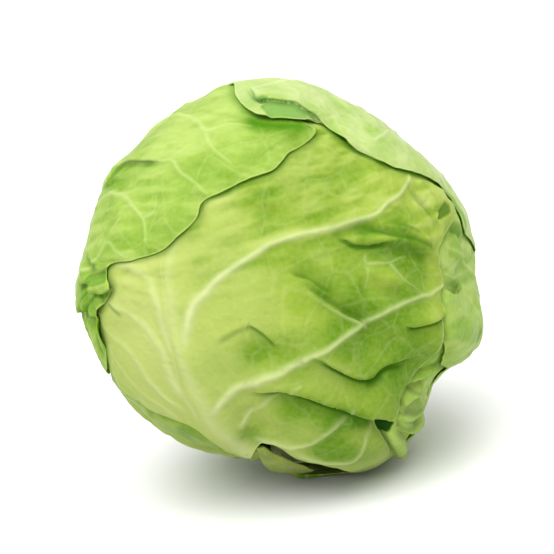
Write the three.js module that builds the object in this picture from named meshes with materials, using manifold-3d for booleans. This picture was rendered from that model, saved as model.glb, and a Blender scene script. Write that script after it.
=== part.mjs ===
// A green cabbage: a dense heart of packed inner leaves on a cut stem, wrapped in six large outer leaves.
// Millimetres, +Z up. The front of the head faces -Y, and it rests on the flattened underside of its leaves.
import * as THREE from "three";
import { mergeVertices } from "three/addons/utils/BufferGeometryUtils.js";
import Module from "manifold-3d";

const wasm = await Module();
wasm.setup();

// Driving dimensions of the whole head
const HEART_RADIUS = 83;
const HEAD_HEIGHT = 90.5; // centre of the head above the surface it rests on
const LEAN_BACK = 14; // degrees that the crown leans away from the front
const LEAN_SIDE = 10; // degrees that the crown leans to the right
const BODY_SHIFT = { x: 0.2, y: -1.3 }; // puts the origin under the middle of the box

// A leaf blade and the air under it
const BLADE = 1.3;
const EDGE_BLADE = 0.8;
const AIR = 1.6;
const WAVES = { broad: 11, narrow: 23, share: 0.6 }; // waves round a leaf's edge
const MAX_SLOPE = 2; // steepest turn of an edge that the distance to it allows for
const OVERHANG = 5; // how far past a leaf's edge the leaf over it stays up
const DRAPE = 16; // over what width it then sinks back down
const LIFT_REACH = 14; // how far in from the edge a leaf lifts
const EDGE_REACH = 10; // how far in from the edge the blade gets its full thickness
const RIB_TAPER = 0.6; // share of its size that a rib loses by its far end
const FOLD_WIDTH = 8; // over what width a fold rises
const FOLD_FADE = 0.22; // share of a fold's length over which it begins and ends
const PRESS = 6; // how far outside a covering leaf's edge the ribs under it sink
const FLOOR_SOFTNESS = 3;
const FLOOR_BULGE = 3; // how far the leaves would bulge through the surface if it did not flatten them
const FLOOR_FACING = 0.2; // how much a direction must face down for the surface to matter there
const CLEAR_START = 0.93; // how much a direction may face down before a leaf's edge stops lifting
const CLEAR_SPAN = 0.08;

// The stem, along its own axis
const STEM_AXIS = [49, -79.5];
const STEM_RADIUS = 14.5;
const STEM_ROOT_RADIUS = 11;
const STEM_CUT = 83; // distance of the cut face from the centre of the head
const STEM_ROOT = 52;
const STEM_CLEARANCE = 0.8;
const STEM_STRAIGHT = 12; // length of its straight end
const STEM_BEVEL = 1.5;
const STEM_SIDES = 24;
const STEM_DIMPLE = { depth: 5, reach: 17 };

// The base of a torn-off leaf that is left on the stem
const STUB = {
  path: [[45, -80], [12, -77], [-2, -69], [-7, -60]],
  width: [12, 18, 13, 4],
  thickness: [0, 2.5, 3, 2],
  root: [65, 79], // distances from the centre of the head between which it grows out of the stem
  gap: 0.5,
};

// How far the head stands off a plain ball, seen from the front, at each angle from its right-hand side
const PROFILE = [
  [0, 0.985], [25, 0.99], [48, 0.94], [70, 0.965], [100, 1.01], [125, 0.99], [150, 0.972], [166, 0.955],
  [185, 0.995], [200, 0.978], [215, 1], [240, 0.985], [260, 0.945], [279, 1.1], [297, 1.11],
  [311, 1.05], [327, 0.94], [343, 1.07],
];

// Behind its middle the head goes over to a plainer ball
const BACK_START = 0.05;
const BACK_SPAN = 0.6;
const BACK_ROUNDING = 0.8;

// Leaves from the innermost out. Points are [degrees to the right of the front, degrees up].
// An outline runs round the leaf, and a rib runs from the stem outwards.
const LEAVES = [
  {
    name: "leaf_lower_left",
    colour: 0x8fb052,
    cells: 20,
    centre: [-88, -22],
    lift: 0.6,
    wave: 1.2,
    outline: [
      [-14, -62], [-22, -76], [-60, -83], [-125, -76], [-148, -55], [-155, -28], [-150, 0], [-132, 24],
      [-105, 34], [-75, 30], [-52, 12], [-38, -8], [-26, -28], [-18, -46],
    ],
    ribs: [
      { path: [[-70, -80], [-90, -50], [-97, -15], [-100, 20]], width: 7, height: 2.6 },
      { path: [[-88, -55], [-65, -42], [-50, -20], [-44, 2]], width: 4, height: 1.2 },
      { path: [[-92, -40], [-72, -20], [-66, 8]], width: 4, height: 1.1 },
      { path: [[-90, -52], [-118, -40], [-136, -15]], width: 4, height: 1.2 },
    ],
  },
  {
    name: "leaf_back",
    colour: 0x7fa84c,
    cells: 22,
    centre: [150, -18],
    lift: 1.6,
    wave: 2.4,
    outline: [
      [84, 0], [78, -9], [66, -15], [54, -18], [43, -23], [36, -30], [32, -38], [32, -46], [38, -54],
      [50, -61], [66, -68], [92, -76], [160, -82], [-160, -74], [-142, -50], [-138, -20], [-142, 12],
      [-160, 38], [165, 48], [130, 42], [102, 22],
    ],
    ribs: [
      { path: [[130, -80], [146, -60], [152, -25], [155, 12], [160, 38]], width: 8, height: 3.2 },
      { path: [[146, -58], [118, -48], [90, -40], [70, -38]], width: 4.5, height: 1.5 },
      { path: [[149, -45], [124, -28], [100, -12]], width: 4.5, height: 1.4 },
      { path: [[152, -28], [135, -5], [120, 20]], width: 4, height: 1.2 },
      { path: [[150, -48], [176, -36], [-156, -16]], width: 4.5, height: 1.4 },
      { path: [[153, -22], [178, -2], [-160, 22]], width: 4, height: 1.2 },
    ],
    swells: [{ at: [62, -47], reach: 14, height: 1.8 }],
  },
  {
    name: "leaf_right",
    colour: 0x92b862,
    cells: 22,
    centre: [112, -2],
    lift: 1.2,
    wave: 1.8,
    outline: [
      [57, -20], [64, -25], [74, -28], [84, -28], [90, -36], [92, -48], [92, -62], [112, -72],
      [150, -72], [152, -52], [160, -28], [165, 0], [158, 30], [130, 52], [85, 60], [50, 50], [34, 28],
      [36, 4], [46, -12],
    ],
    ribs: [
      { path: [[118, -72], [122, -45], [118, -10], [108, 20], [96, 48]], width: 7.5, height: 3 },
      { path: [[121, -42], [104, -30], [84, -18], [70, -6]], width: 4, height: 1.5 },
      { path: [[120, -25], [98, -8], [72, 5], [58, 9]], width: 4, height: 1.4 },
      { path: [[116, -5], [95, 14], [70, 24]], width: 4, height: 1.3 },
      { path: [[121, -30], [140, -12], [152, 12]], width: 4, height: 1.3 },
      { path: [[114, 4], [132, 24], [142, 40]], width: 4, height: 1.2 },
    ],
  },
  {
    name: "leaf_front",
    colour: 0xa9c85a,
    cells: 32,
    centre: [-8, -6],
    lift: 0.8,
    wave: 0.8,
    outline: [
      [56, 36], [61, 24], [63.5, 19], [61, 15.5], [54, 12.3], [50, 9], [51, 5], [52.5, 1.4],
      [53.5, -0.8], [51.5, -3.4], [50.5, -8], [50.7, -13], [52, -19], [53, -22.5], [52, -25.5],
      [49, -29], [46.5, -32], [44.3, -35], [45, -37.6], [44, -40], [39, -41.5], [38.5, -43.6],
      [44, -47], [53, -51], [62, -55], [66, -60], [56, -63], [43, -63], [26, -62.5], [13, -61.5],
      [5.8, -59.8], [-1.3, -56.5], [-6, -55.2], [-9.5, -56], [-12.5, -59.5], [-17, -65], [-24, -71],
      [-36, -73], [-42, -67], [-38, -59], [-38, -51], [-43, -45], [-55, -42], [-65, -36], [-67, -30],
      [-72, -20], [-84, -8], [-96, 8], [-98, 28], [-82, 48], [-45, 66], [5, 72], [38, 62], [50, 48],
    ],
    ribs: [
      { path: [[-14, -74], [-21, -60], [-29, -50], [-30, -34], [-31, -22], [-32, -11], [-32, 1], [-29, 14],
        [-24, 34]], width: 8, height: 3.4 },
      { path: [[-33, -42], [-34, -26], [-36, -8], [-44, 3], [-52, 14]], width: 4, height: 1.1 },
      { path: [[-34, -30], [-38, -17], [-49, -10], [-62, -4]], width: 3.6, height: 1 },
      { path: [[-36, -36], [-46, -26], [-59, -15]], width: 3.6, height: 0.9 },
      { path: [[-26, -22], [-27, -9], [-18, -1], [-4, 9], [14, 15], [26, 17], [36, 23], [48, 30]],
        width: 5, height: 2.4 },
      { path: [[-24, -39], [-9, -30], [6, -24], [17, -18], [34, -9], [52, -3]], width: 5, height: 2.4 },
      { path: [[-12, -54], [5, -54], [16, -48], [24, -38]], width: 4, height: 1.4 },
      { path: [[4, -56], [20, -58], [36, -56], [36, -44]], width: 4, height: 1.3 },
      { path: [[-12, -45], [-7, -38], [0, -31], [9, -28]], width: 4, height: 1.2 },
    ],
    folds: [
      { path: [[-12, -34], [0, -32], [14, -35], [31, -39], [46, -41], [64, -38]], height: 3.2, reach: 18 },
      { path: [[7, -20.5], [16, -24.5], [25, -28], [34, -24.5], [50, -23]], height: 2.4, reach: 12 },
      { path: [[35, -14], [40, -12.7], [51, -11.4], [64, -9]], height: 1.8, reach: 9 },
      { path: [[28, -14], [21, -11], [9, -4.2], [0, 5]], height: 2.2, reach: 14 },
      { path: [[15, 11], [22.5, 8.7], [33, 9]], height: 1.4, reach: 9 },
      { path: [[5, -23], [-4, -16], [-12, -12]], height: 1.2, reach: 10 },
    ],
    swells: [
      { at: [58, 21], reach: 8, height: 1.6 },
      { at: [-4, -31], reach: 9, height: 1.6 },
    ],
  },
  {
    name: "leaf_left",
    colour: 0x9cc255,
    cells: 26,
    centre: [-105, 8],
    lift: 1.2,
    wave: 1.2,
    outline: [
      [7, 51], [9.6, 48], [12.4, 46], [13.6, 43.8], [12, 41.8], [9.2, 40.4], [5.2, 38], [1.4, 36.2],
      [-0.5, 33.5], [-4.7, 29.9], [-9, 28], [-17, 24], [-22, 22], [-25, 17], [-30, 12], [-36.6, 7.2],
      [-43, 5.6], [-47, 4.6], [-51.6, 4.4], [-55.5, 2.8], [-55, 0.5], [-52.6, -2], [-55.7, -4.8],
      [-59, -7], [-63, -10], [-64.6, -14], [-64.8, -19], [-67, -24], [-77, -28], [-90, -30],
      [-102, -42], [-112, -58], [-135, -72], [-170, -72], [-175, -50], [-175, -20], [-180, 10],
      [170, 40], [140, 66], [60, 74], [15, 66], [6, 56],
    ],
    ribs: [
      { path: [[-130, -72], [-122, -45], [-113, -12], [-106, 15], [-96, 42], [-70, 60]], width: 7.5,
        height: 3.2 },
      { path: [[-110, -2], [-88, 14], [-67, 24], [-49, 20], [-42, 12]], width: 4, height: 1.3 },
      { path: [[-104, 18], [-80, 32], [-60, 36], [-41, 35], [-27, 27], [-20, 22]], width: 4, height: 1.3 },
      { path: [[-99, 36], [-72, 50], [-45, 51], [-30, 45], [-11, 46]], width: 4, height: 1.2 },
      { path: [[-118, -28], [-98, -12], [-80, 0], [-64, 4]], width: 4, height: 1.3 },
      { path: [[-113, -10], [-134, 4], [-152, 26]], width: 4.5, height: 1.4 },
      { path: [[-120, -35], [-140, -22], [-158, -2]], width: 4.5, height: 1.4 },
      { path: [[-103, 22], [-125, 42], [-148, 56]], width: 4, height: 1.3 },
    ],
  },
  {
    name: "leaf_crown",
    colour: 0xaece70,
    cells: 22,
    centre: [130, 25],
    lift: 1.8,
    wave: 1,
    outline: [
      [-45, 70], [-23.5, 60], [-13.2, 50.8], [-8.7, 48.2], [-5.4, 47.5], [-1.4, 47.4], [3, 47.5],
      [6.4, 47.7], [10.2, 48.3], [14.2, 49.4], [18.2, 49.3], [21.8, 46.3], [27.2, 39.8], [33, 36],
      [40.2, 32.7], [49, 30.8], [57, 28.6], [64, 25.5], [69, 21], [73, 14.5], [84, 10], [95, 4],
      [100, -8], [100, -24], [104, -40], [112, -56], [126, -68], [165, -76], [-165, -66], [-160, -40],
      [-158, -10], [-150, 20], [-130, 45], [-95, 64],
    ],
    ribs: [
      { path: [[158, -74], [162, -45], [160, -12], [150, 20], [130, 46], [85, 66]], width: 8, height: 3.4 },
      { path: [[152, 14], [125, 28], [95, 32], [66, 30]], width: 4.5, height: 1.4 },
      { path: [[138, 38], [105, 50], [70, 50], [40, 42]], width: 4.5, height: 1.4 },
      { path: [[161, -30], [140, -20], [115, -6], [92, 6]], width: 4.5, height: 1.5 },
      { path: [[157, 2], [175, 20], [-166, 34]], width: 4.5, height: 1.4 },
      { path: [[142, 32], [168, 56], [-150, 64]], width: 4.5, height: 1.3 },
      { path: [[110, 58], [60, 72], [0, 70], [-15, 62]], width: 4, height: 1.2 },
      { path: [[162, -36], [178, -20], [-174, -6]], width: 4, height: 1.3 },
    ],
  },
];

// Round ends of the packed inner leaves, each lying over the one before it
const INNER_LEAVES = [
  { centre: [40, 10], radius: 78 },
  { centre: [-120, 0], radius: 84 },
  { centre: [160, 20], radius: 72 },
  { centre: [-40, 5], radius: 76 },
];
const INNER_STEP = 1.2;
const HEART_DETAIL = 7;
const INNER_EDGE = 4; // degrees over which an inner leaf's end steps down
const HEART_GAP = 0.8; // how far the topmost inner leaf stays below the air under the outer leaves

const RAD = Math.PI / 180;
const clamp01 = (x) => Math.min(1, Math.max(0, x));
const smooth = (x) => clamp01(x) ** 2 * (3 - 2 * clamp01(x));

// Unit vector in the head's own frame, whose front faces -Y before it leans
function direction([lon, lat]) {
  const flat = Math.cos(lat * RAD);
  return new THREE.Vector3(Math.sin(lon * RAD) * flat, -Math.cos(lon * RAD) * flat, Math.sin(lat * RAD));
}

const lean = new THREE.Matrix4().makeRotationFromEuler(
  new THREE.Euler(-LEAN_BACK * RAD, LEAN_SIDE * RAD, 0, "XYZ"),
);
const down = new THREE.Vector3(0, 0, -1).applyMatrix4(lean.clone().transpose());
const stemAxis = direction(STEM_AXIS);

// A value at an angle from a list of [angle, value], on a smooth closed curve through all of them
function round(list, angle) {
  const turned = (a) => ((a % 360) + 360) % 360;
  const at = turned(angle);
  const count = list.length;
  let next = list.findIndex(([a]) => a > at);
  if (next < 0) next = 0;
  const [before, start, end, after] = [-2, -1, 0, 1].map((k) => list[(next + k + count) % count]);
  const slope = (a, b) => (b[1] - a[1]) / turned(b[0] - a[0]);
  const span = turned(end[0] - start[0]);
  const t = turned(at - start[0]) / span;
  const out = (span * (slope(before, start) + slope(start, end))) / 2;
  const into = (span * (slope(start, end) + slope(end, after))) / 2;
  const fall = (1 - t) ** 2;
  return (1 + 2 * t) * fall * start[1] + t * fall * out + t * t * ((3 - 2 * t) * end[1] - (1 - t) * into);
}

// Radius of the surface that the outer leaves are wrapped round
function bareRadius(d) {
  const behind = smooth((d.y - BACK_START) / BACK_SPAN);
  const edgeOn = (d.x * d.x + d.z * d.z) * (1 - BACK_ROUNDING * behind);
  const off = round(PROFILE, Math.atan2(d.z, d.x) / RAD) - 1;
  const fromStem = d.angleTo(stemAxis) / RAD / STEM_DIMPLE.reach;
  return HEART_RADIUS * (1 + off * edgeOn) - STEM_DIMPLE.depth * Math.exp(-(fromStem ** 2));
}

// The smaller of a radius and that of the flat surface below, with a soft change from one to the other
function flattened(radius, d, layersAbove) {
  const facing = d.dot(down);
  if (facing < FLOOR_FACING) return radius;
  const floor = (HEAD_HEIGHT + FLOOR_BULGE) / facing - layersAbove;
  return floor - FLOOR_SOFTNESS * Math.log(Math.exp((floor - radius) / FLOOR_SOFTNESS) + 1);
}

// A leaf's own polar map, centred on its middle
function chartOf(leaf) {
  const centre = direction(leaf.centre);
  const east = new THREE.Vector3(0, 0, 1).cross(centre).normalize();
  const north = centre.clone().cross(east);
  const polar = (d) => ({
    reach: centre.angleTo(d),
    bearing: Math.atan2(d.dot(north), d.dot(east)) / RAD,
  });
  const point = (reach, bearing) =>
    centre
      .clone()
      .multiplyScalar(Math.cos(reach))
      .addScaledVector(east, Math.sin(reach) * Math.cos(bearing * RAD))
      .addScaledVector(north, Math.sin(reach) * Math.sin(bearing * RAD));
  const rim = leaf.outline.map((p) => {
    const { reach, bearing } = polar(direction(p));
    return [(bearing + 360) % 360, reach];
  });
  rim.sort((a, b) => a[0] - b[0]);
  const clear = Math.asin((STEM_RADIUS + STEM_CLEARANCE) / STEM_CUT);
  const edgeTable = Array.from({ length: 360 }, (_, bearing) => {
    const broad = Math.sin(bearing * WAVES.broad * RAD);
    const narrow = WAVES.share * Math.sin(bearing * WAVES.narrow * RAD + leaf.centre[0]);
    let reach = round(rim, bearing) + (leaf.wave * (broad + narrow)) / ((1 + WAVES.share) * HEART_RADIUS);
    for (let r = 0.1; r < reach; r += 0.01) {
      if (point(r, bearing).angleTo(stemAxis) < clear) reach = r;
    }
    return reach;
  });
  const edge = (bearing) => {
    const at = ((bearing % 360) + 360) % 360;
    const low = Math.floor(at);
    return edgeTable[low % 360] * (1 - at + low) + edgeTable[(low + 1) % 360] * (at - low);
  };
  // Distance in from the edge, in millimetres, negative outside it
  const inset = (d) => {
    const { reach, bearing } = polar(d);
    const slope = (edge(bearing + 1) - edge(bearing - 1)) / (2 * RAD * Math.sin(edge(bearing)));
    const steepness = Math.hypot(1, Math.min(MAX_SLOPE, Math.abs(slope)));
    return ((edge(bearing) - reach) * HEART_RADIUS) / steepness;
  };
  return { point, edge, inset };
}

// Distance from a direction to a path on the head, with the share of the path passed and the side it is on
function nearestOn(path, d) {
  let best = { distance: Infinity, share: 0, side: 1 };
  for (let i = 0; i + 1 < path.length; i++) {
    const run = path[i + 1].clone().sub(path[i]);
    const t = clamp01(d.clone().sub(path[i]).dot(run) / run.lengthSq());
    const off = d.clone().sub(path[i]).addScaledVector(run, -t);
    const distance = off.length() * HEART_RADIUS;
    if (distance < best.distance) {
      const side = Math.sign(run.clone().cross(off).dot(d)) || 1;
      best = { distance, share: (i + t) / (path.length - 1), side };
    }
  }
  return best;
}

// What a leaf adds to its plain blade: ribs that stand on it, and a bend that moves both its faces
function reliefOf(leaf) {
  const ribs = leaf.ribs.map((rib) => ({ ...rib, path: rib.path.map(direction) }));
  const folds = (leaf.folds ?? []).map((fold) => ({ ...fold, path: fold.path.map(direction) }));
  const swells = (leaf.swells ?? []).map((swell) => ({ ...swell, at: direction(swell.at) }));
  const raised = (d) =>
    ribs.reduce((height, rib) => {
      const { distance, share } = nearestOn(rib.path, d);
      const taper = 1 - RIB_TAPER * share;
      return Math.max(height, rib.height * taper * Math.exp(-((distance / (rib.width * taper)) ** 2)));
    }, 0);
  const bent = (d) => {
    let height = 0;
    for (const fold of folds) {
      const { distance, share, side } = nearestOn(fold.path, d);
      const along = smooth(share / FOLD_FADE) * smooth((1 - share) / FOLD_FADE);
      const over = smooth(0.5 + (side * distance) / FOLD_WIDTH);
      height += fold.height * along * over * Math.exp(-distance / fold.reach);
    }
    for (const swell of swells) {
      const away = (swell.at.angleTo(d) * HEART_RADIUS) / swell.reach;
      height += swell.height * Math.exp(-(away ** 2));
    }
    return height;
  };
  return { raised, bent };
}

const wraps = LEAVES.map((leaf) => ({ leaf, ...chartOf(leaf), ...reliefOf(leaf) }));

// How much of a leaf's layer is under a direction: 1 on the leaf and just past its edge, 0 well outside it
const presence = (wrap, d) => smooth(1 + (wrap.inset(d) + OVERHANG) / DRAPE);

// How free a leaf is at a direction from the leaf that lies over it: 0 under it, 1 well outside it
const pressed = (over, d) => 1 - smooth(1 + (over.inset(d) + OVERHANG) / PRESS);

// Under and upper radius of layer number index at a direction. Layer -1 is the heart.
function layer(index, d) {
  const step = AIR + BLADE;
  const thickness = (from, to) =>
    wraps.slice(from, to).reduce((sum, wrap) => sum + presence(wrap, d) * step, 0);
  const bare = flattened(bareRadius(d), d, thickness(0));
  if (index < 0) return { upper: bare };
  const open = wraps.slice(index + 1).reduce((free, over) => free * pressed(over, d), 1);
  const wrap = wraps[index];
  const inset = wrap.inset(d);
  const clear = smooth((CLEAR_START - d.dot(down)) / CLEAR_SPAN);
  const lift = wrap.leaf.lift * clear * smooth(1 - inset / LIFT_REACH);
  const blade = EDGE_BLADE + (BLADE - EDGE_BLADE) * smooth(inset / EDGE_REACH);
  const under = bare + thickness(0, index) + AIR + (lift + wrap.bent(d)) * open;
  return { under, upper: under + blade + wrap.raised(d) * open };
}

// A point on the head as it rests, level with the surface below where it would go through it
function placed(d, radius) {
  const point = d.clone().applyMatrix4(lean).multiplyScalar(radius);
  point.z = Math.max(point.z, -HEAD_HEIGHT);
  return point;
}

// A square grid bent to a disc, then to the leaf's outline. Values run from -1 to 1.
function onLeaf(wrap, p, q) {
  const x = p * Math.sqrt(1 - (q * q) / 2);
  const y = q * Math.sqrt(1 - (p * p) / 2);
  const bearing = Math.atan2(y, x) / RAD;
  return wrap.point(Math.hypot(x, y) * wrap.edge(bearing), bearing);
}

// One leaf as a closed thin blade, split alike on both faces, with a narrow edge between them
function leafGeometry(index) {
  const wrap = wraps[index];
  const { cells } = wrap.leaf;
  const positions = [];
  const triangles = [];
  const row = cells + 1;
  const under = row * row;
  for (const key of ["upper", "under"]) {
    for (let j = 0; j <= cells; j++) {
      for (let i = 0; i <= cells; i++) {
        const d = onLeaf(wrap, (2 * i) / cells - 1, (2 * j) / cells - 1);
        positions.push(...placed(d, layer(index, d)[key]).toArray());
      }
    }
  }
  for (let j = 0; j < cells; j++) {
    for (let i = 0; i < cells; i++) {
      const a = j * row + i;
      const [b, c, d] = [a + 1, a + row + 1, a + row];
      triangles.push(a, b, c, a, c, d, under + a, under + c, under + b, under + a, under + d, under + c);
    }
  }
  const rim = [];
  for (let i = 0; i < cells; i++) rim.push(i);
  for (let j = 0; j < cells; j++) rim.push(j * row + cells);
  for (let i = cells; i > 0; i--) rim.push(cells * row + i);
  for (let j = cells; j > 0; j--) rim.push(j * row);
  rim.forEach((a, n) => {
    const b = rim[(n + 1) % rim.length];
    triangles.push(a, under + a, b, b, under + a, under + b);
  });
  const geometry = new THREE.BufferGeometry();
  geometry.setAttribute("position", new THREE.Float32BufferAttribute(positions, 3));
  geometry.setIndex(triangles);
  geometry.computeVertexNormals();
  return geometry;
}

// A closed mesh as a solid, and back
function solid(geometry) {
  const bare = new THREE.BufferGeometry();
  bare.setAttribute("position", geometry.getAttribute("position"));
  if (geometry.index) bare.setIndex(geometry.index);
  const merged = mergeVertices(bare, 1e-4);
  return new wasm.Manifold(
    new wasm.Mesh({
      numProp: 3,
      vertProperties: new Float32Array(merged.attributes.position.array),
      triVerts: new Uint32Array(merged.index.array),
    }),
  );
}

function geometryOf(shape) {
  const mesh = shape.getMesh();
  const geometry = new THREE.BufferGeometry();
  geometry.setAttribute("position", new THREE.BufferAttribute(mesh.vertProperties, 3));
  geometry.setIndex(new THREE.BufferAttribute(mesh.triVerts, 1));
  geometry.computeVertexNormals();
  return geometry;
}

// A round bar along the stem's axis, from its root in the head out to its cut face. Room is left round it
// when it is cut out of the heart, and that bar runs on out of the head.
function stemBar(extra) {
  const end = STEM_CUT + (extra > 0 ? STEM_RADIUS : 0);
  const outline = [
    new THREE.Vector2(0, STEM_ROOT - extra),
    new THREE.Vector2(STEM_ROOT_RADIUS + extra, STEM_ROOT - extra),
    new THREE.Vector2(STEM_RADIUS + extra, STEM_CUT - STEM_STRAIGHT),
    new THREE.Vector2(STEM_RADIUS + extra, end - STEM_BEVEL),
    new THREE.Vector2(STEM_RADIUS + extra - STEM_BEVEL, end),
    new THREE.Vector2(0, end),
  ];
  const bar = new THREE.LatheGeometry(outline, STEM_SIDES);
  const along = stemAxis.clone().applyMatrix4(lean);
  bar.applyQuaternion(new THREE.Quaternion().setFromUnitVectors(new THREE.Vector3(0, 1, 0), along));
  return solid(bar);
}

// The base of a leaf that was torn off, still on the stem: a wedge that lies on the head and ends in a point
function stubBar() {
  const positions = [];
  const triangles = [];
  const stations = STUB.path.map(direction);
  stations.forEach((d, n) => {
    const near = stations[Math.max(0, n - 1)];
    const far = stations[Math.min(stations.length - 1, n + 1)];
    const side = far.clone().sub(near).cross(d).normalize();
    const low = n === 0 ? STUB.root[0] : layer(0, d).upper + STUB.gap;
    const high = n === 0 ? STUB.root[1] : low + STUB.thickness[n];
    const across = side.clone().applyMatrix4(lean);
    const corner = (radius, offset) =>
      positions.push(...placed(d, radius).addScaledVector(across, offset).toArray());
    corner(low, -STUB.width[n] / 2);
    corner(low, STUB.width[n] / 2);
    corner(high, STUB.width[n] / 3);
    corner(high, -STUB.width[n] / 3);
  });
  const last = 4 * (stations.length - 1);
  triangles.push(0, 1, 2, 0, 2, 3, last, last + 2, last + 1, last, last + 3, last + 2);
  for (let at = 0; at < last; at += 4) {
    for (let k = 0; k < 4; k++) {
      const [a, b] = [at + k, at + ((k + 1) % 4)];
      triangles.push(a, b + 4, b, a, a + 4, b + 4);
    }
  }
  const geometry = new THREE.BufferGeometry();
  geometry.setAttribute("position", new THREE.Float32BufferAttribute(positions, 3));
  geometry.setIndex(triangles);
  return solid(geometry);
}

// The heart: packed inner leaves whose rounded ends lie over each other in low steps
function heartGeometry() {
  const ball = new THREE.IcosahedronGeometry(1, HEART_DETAIL);
  const place = ball.getAttribute("position");
  const inner = INNER_LEAVES.map(({ centre, radius }) => ({ middle: direction(centre), radius }));
  for (let i = 0; i < place.count; i++) {
    const d = new THREE.Vector3().fromBufferAttribute(place, i).normalize();
    const steps = inner.map(({ middle, radius }) => smooth((radius - middle.angleTo(d) / RAD) / INNER_EDGE));
    const sunk = INNER_STEP * (steps.length - steps.reduce((sum, step) => sum + step, 0));
    place.setXYZ(i, ...placed(d, layer(-1, d).upper - HEART_GAP - sunk).toArray());
  }
  return geometryOf(solid(ball).subtract(stemBar(STEM_CLEARANCE / 2)));
}

function meshOf(name, geometry, colour, roughness) {
  const material = new THREE.MeshStandardMaterial({ color: colour, roughness, metalness: 0 });
  const mesh = new THREE.Mesh(geometry, material);
  mesh.name = name;
  return mesh;
}

const cabbage = new THREE.Group();
cabbage.name = "cabbage";
cabbage.position.set(BODY_SHIFT.x, BODY_SHIFT.y, HEAD_HEIGHT);
cabbage.add(meshOf("heart", heartGeometry(), 0xc8d88a, 0.55));
cabbage.add(meshOf("stem", geometryOf(stemBar(0).add(stubBar())), 0xc9cf9a, 0.7));
LEAVES.forEach(({ name, colour }, index) => cabbage.add(meshOf(name, leafGeometry(index), colour, 0.5)));

export default cabbage;
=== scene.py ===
"""A green cabbage, dressed: fine leaves, ribs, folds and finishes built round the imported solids.

Sizes are in millimetres until a mesh is made. A place on the head is (degrees to the right of its
front, degrees up), in the head's own frame, which leans back and to the right as the head rests.
"""

import logging
import math
from dataclasses import dataclass
from enum import Enum

import bpy
import numpy as np
from mathutils import Matrix, Vector


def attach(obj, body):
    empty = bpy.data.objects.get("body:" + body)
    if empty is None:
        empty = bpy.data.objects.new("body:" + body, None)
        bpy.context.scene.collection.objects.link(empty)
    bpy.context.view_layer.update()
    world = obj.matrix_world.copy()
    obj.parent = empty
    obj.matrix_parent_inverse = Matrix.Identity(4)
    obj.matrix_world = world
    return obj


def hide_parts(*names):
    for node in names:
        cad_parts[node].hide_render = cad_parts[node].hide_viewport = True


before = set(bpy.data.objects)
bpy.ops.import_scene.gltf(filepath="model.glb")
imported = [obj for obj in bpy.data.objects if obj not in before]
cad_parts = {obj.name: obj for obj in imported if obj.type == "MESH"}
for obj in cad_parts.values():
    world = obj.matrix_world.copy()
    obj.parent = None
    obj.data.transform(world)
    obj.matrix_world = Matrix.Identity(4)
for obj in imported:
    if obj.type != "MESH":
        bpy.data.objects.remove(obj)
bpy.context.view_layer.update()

Array = np.ndarray
Place = tuple[float, float]
Colour = tuple[float, float, float]

LOG = logging.getLogger("cabbage")
METRE = 0.001  # one millimetre, in metres
BODY = "root"
REFLECTED = 0.55  # share of the studio's bright light that a finish gives back, for the colour it shows
FOLD_FADE = 0.22  # share of a fold's length over which it begins and ends
FOLD_PAST = 4.0  # how far past its ends a fold dies out, in millimetres


class Side(Enum):
    """The two faces of a leaf blade: the outer one, which the ribs stand out of, and the inner one."""

    OUTER = "outer"
    INNER = "inner"


@dataclass(frozen=True)
class HeadSize:
    """The whole head: its size, how it leans, and how its layers lie."""

    radius: float = 83.0
    height: float = 90.5  # centre of the head above the surface that it rests on
    lean_back: float = 14.0
    lean_side: float = 10.0
    shift: Place = (0.2, -1.3)  # puts the origin under the middle of the box
    blade: float = 1.3  # a blade of the solids, and below the air under it
    air: float = 1.6
    overhang: float = 5.0  # how far past a leaf's edge the solid over it stays up
    drape: float = 16.0  # over what width it then sinks back down
    lift_reach: float = 14.0  # how far in from its edge a leaf lifts
    floor_softness: float = 3.0
    floor_bulge: float = 3.0  # how far the leaves would stand below the surface if it didn't flatten them
    floor_facing: float = 0.2  # how much a direction faces down where the surface starts to matter
    clear_start: float = 0.93  # how much it faces down where a leaf's edge lies pressed flat
    clear_span: float = 0.08  # over what change of that the edge comes free
    back_start: float = 0.05  # behind its middle the head goes over to a plainer ball
    back_span: float = 0.6
    back_rounding: float = 0.8
    dimple_depth: float = 5.0
    dimple_reach: float = 17.0
    stem_axis: Place = (49.0, -79.5)
    stem_radius: float = 14.5
    stem_cut: float = 83.0
    stem_clearance: float = 0.8
    slimmer: float = 0.6  # how much smaller the head is here than in the solids
    fine_blade: float = 1.0  # a blade as it is made here, its edge, and the air under it
    fine_edge: float = 0.4
    fine_air: float = 0.5
    fine_overhang: float = 1.2
    fine_drape: float = 8.0
    edge_gap: float = 0.08  # air that is left under a leaf's edge
    tuck: float = 5.0  # over what width the blade dips towards that edge
    press_gap: float = 0.4  # how far outside the edge of a leaf over it a blade is held down
    press_width: float = 3.0  # over what width it then comes free
    edge_shadow_width: float = 2.6  # width of the painted shadow along the edge of a leaf over it
    unevenness: float = 0.8
    unevenness_size: float = 26.0
    profile: tuple[Place, ...] = (
        (0, 0.985), (25, 0.99), (48, 0.94), (70, 0.965), (100, 1.01), (125, 0.99), (150, 0.972),
        (166, 0.955), (185, 0.995), (200, 0.978), (215, 1), (240, 0.985), (260, 0.945), (279, 1.1),
        (297, 1.11), (311, 1.05), (327, 0.94), (343, 1.07),
    )


@dataclass(frozen=True)
class Rib:
    """A raised rib or vein, from its thick end to its thin one. Ink is how pale it is at its start,
    and crest the share of its height in a narrow crest."""

    path: tuple[Place, ...]
    width: float
    height: float
    ink: float = 1.0
    crest: float = 0.5


@dataclass(frozen=True)
class Fold:
    """A step in the blade. It stands up on the left of its path and rolls over its own foot, on which its
    shade paints a deeper green line of shadow."""

    path: tuple[Place, ...]
    height: float
    reach: float
    width: float = 2.0
    roll: float = 1.0
    foot: float = 0.0
    foot_reach: float = 9.0
    shade: float = 0.6


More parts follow.
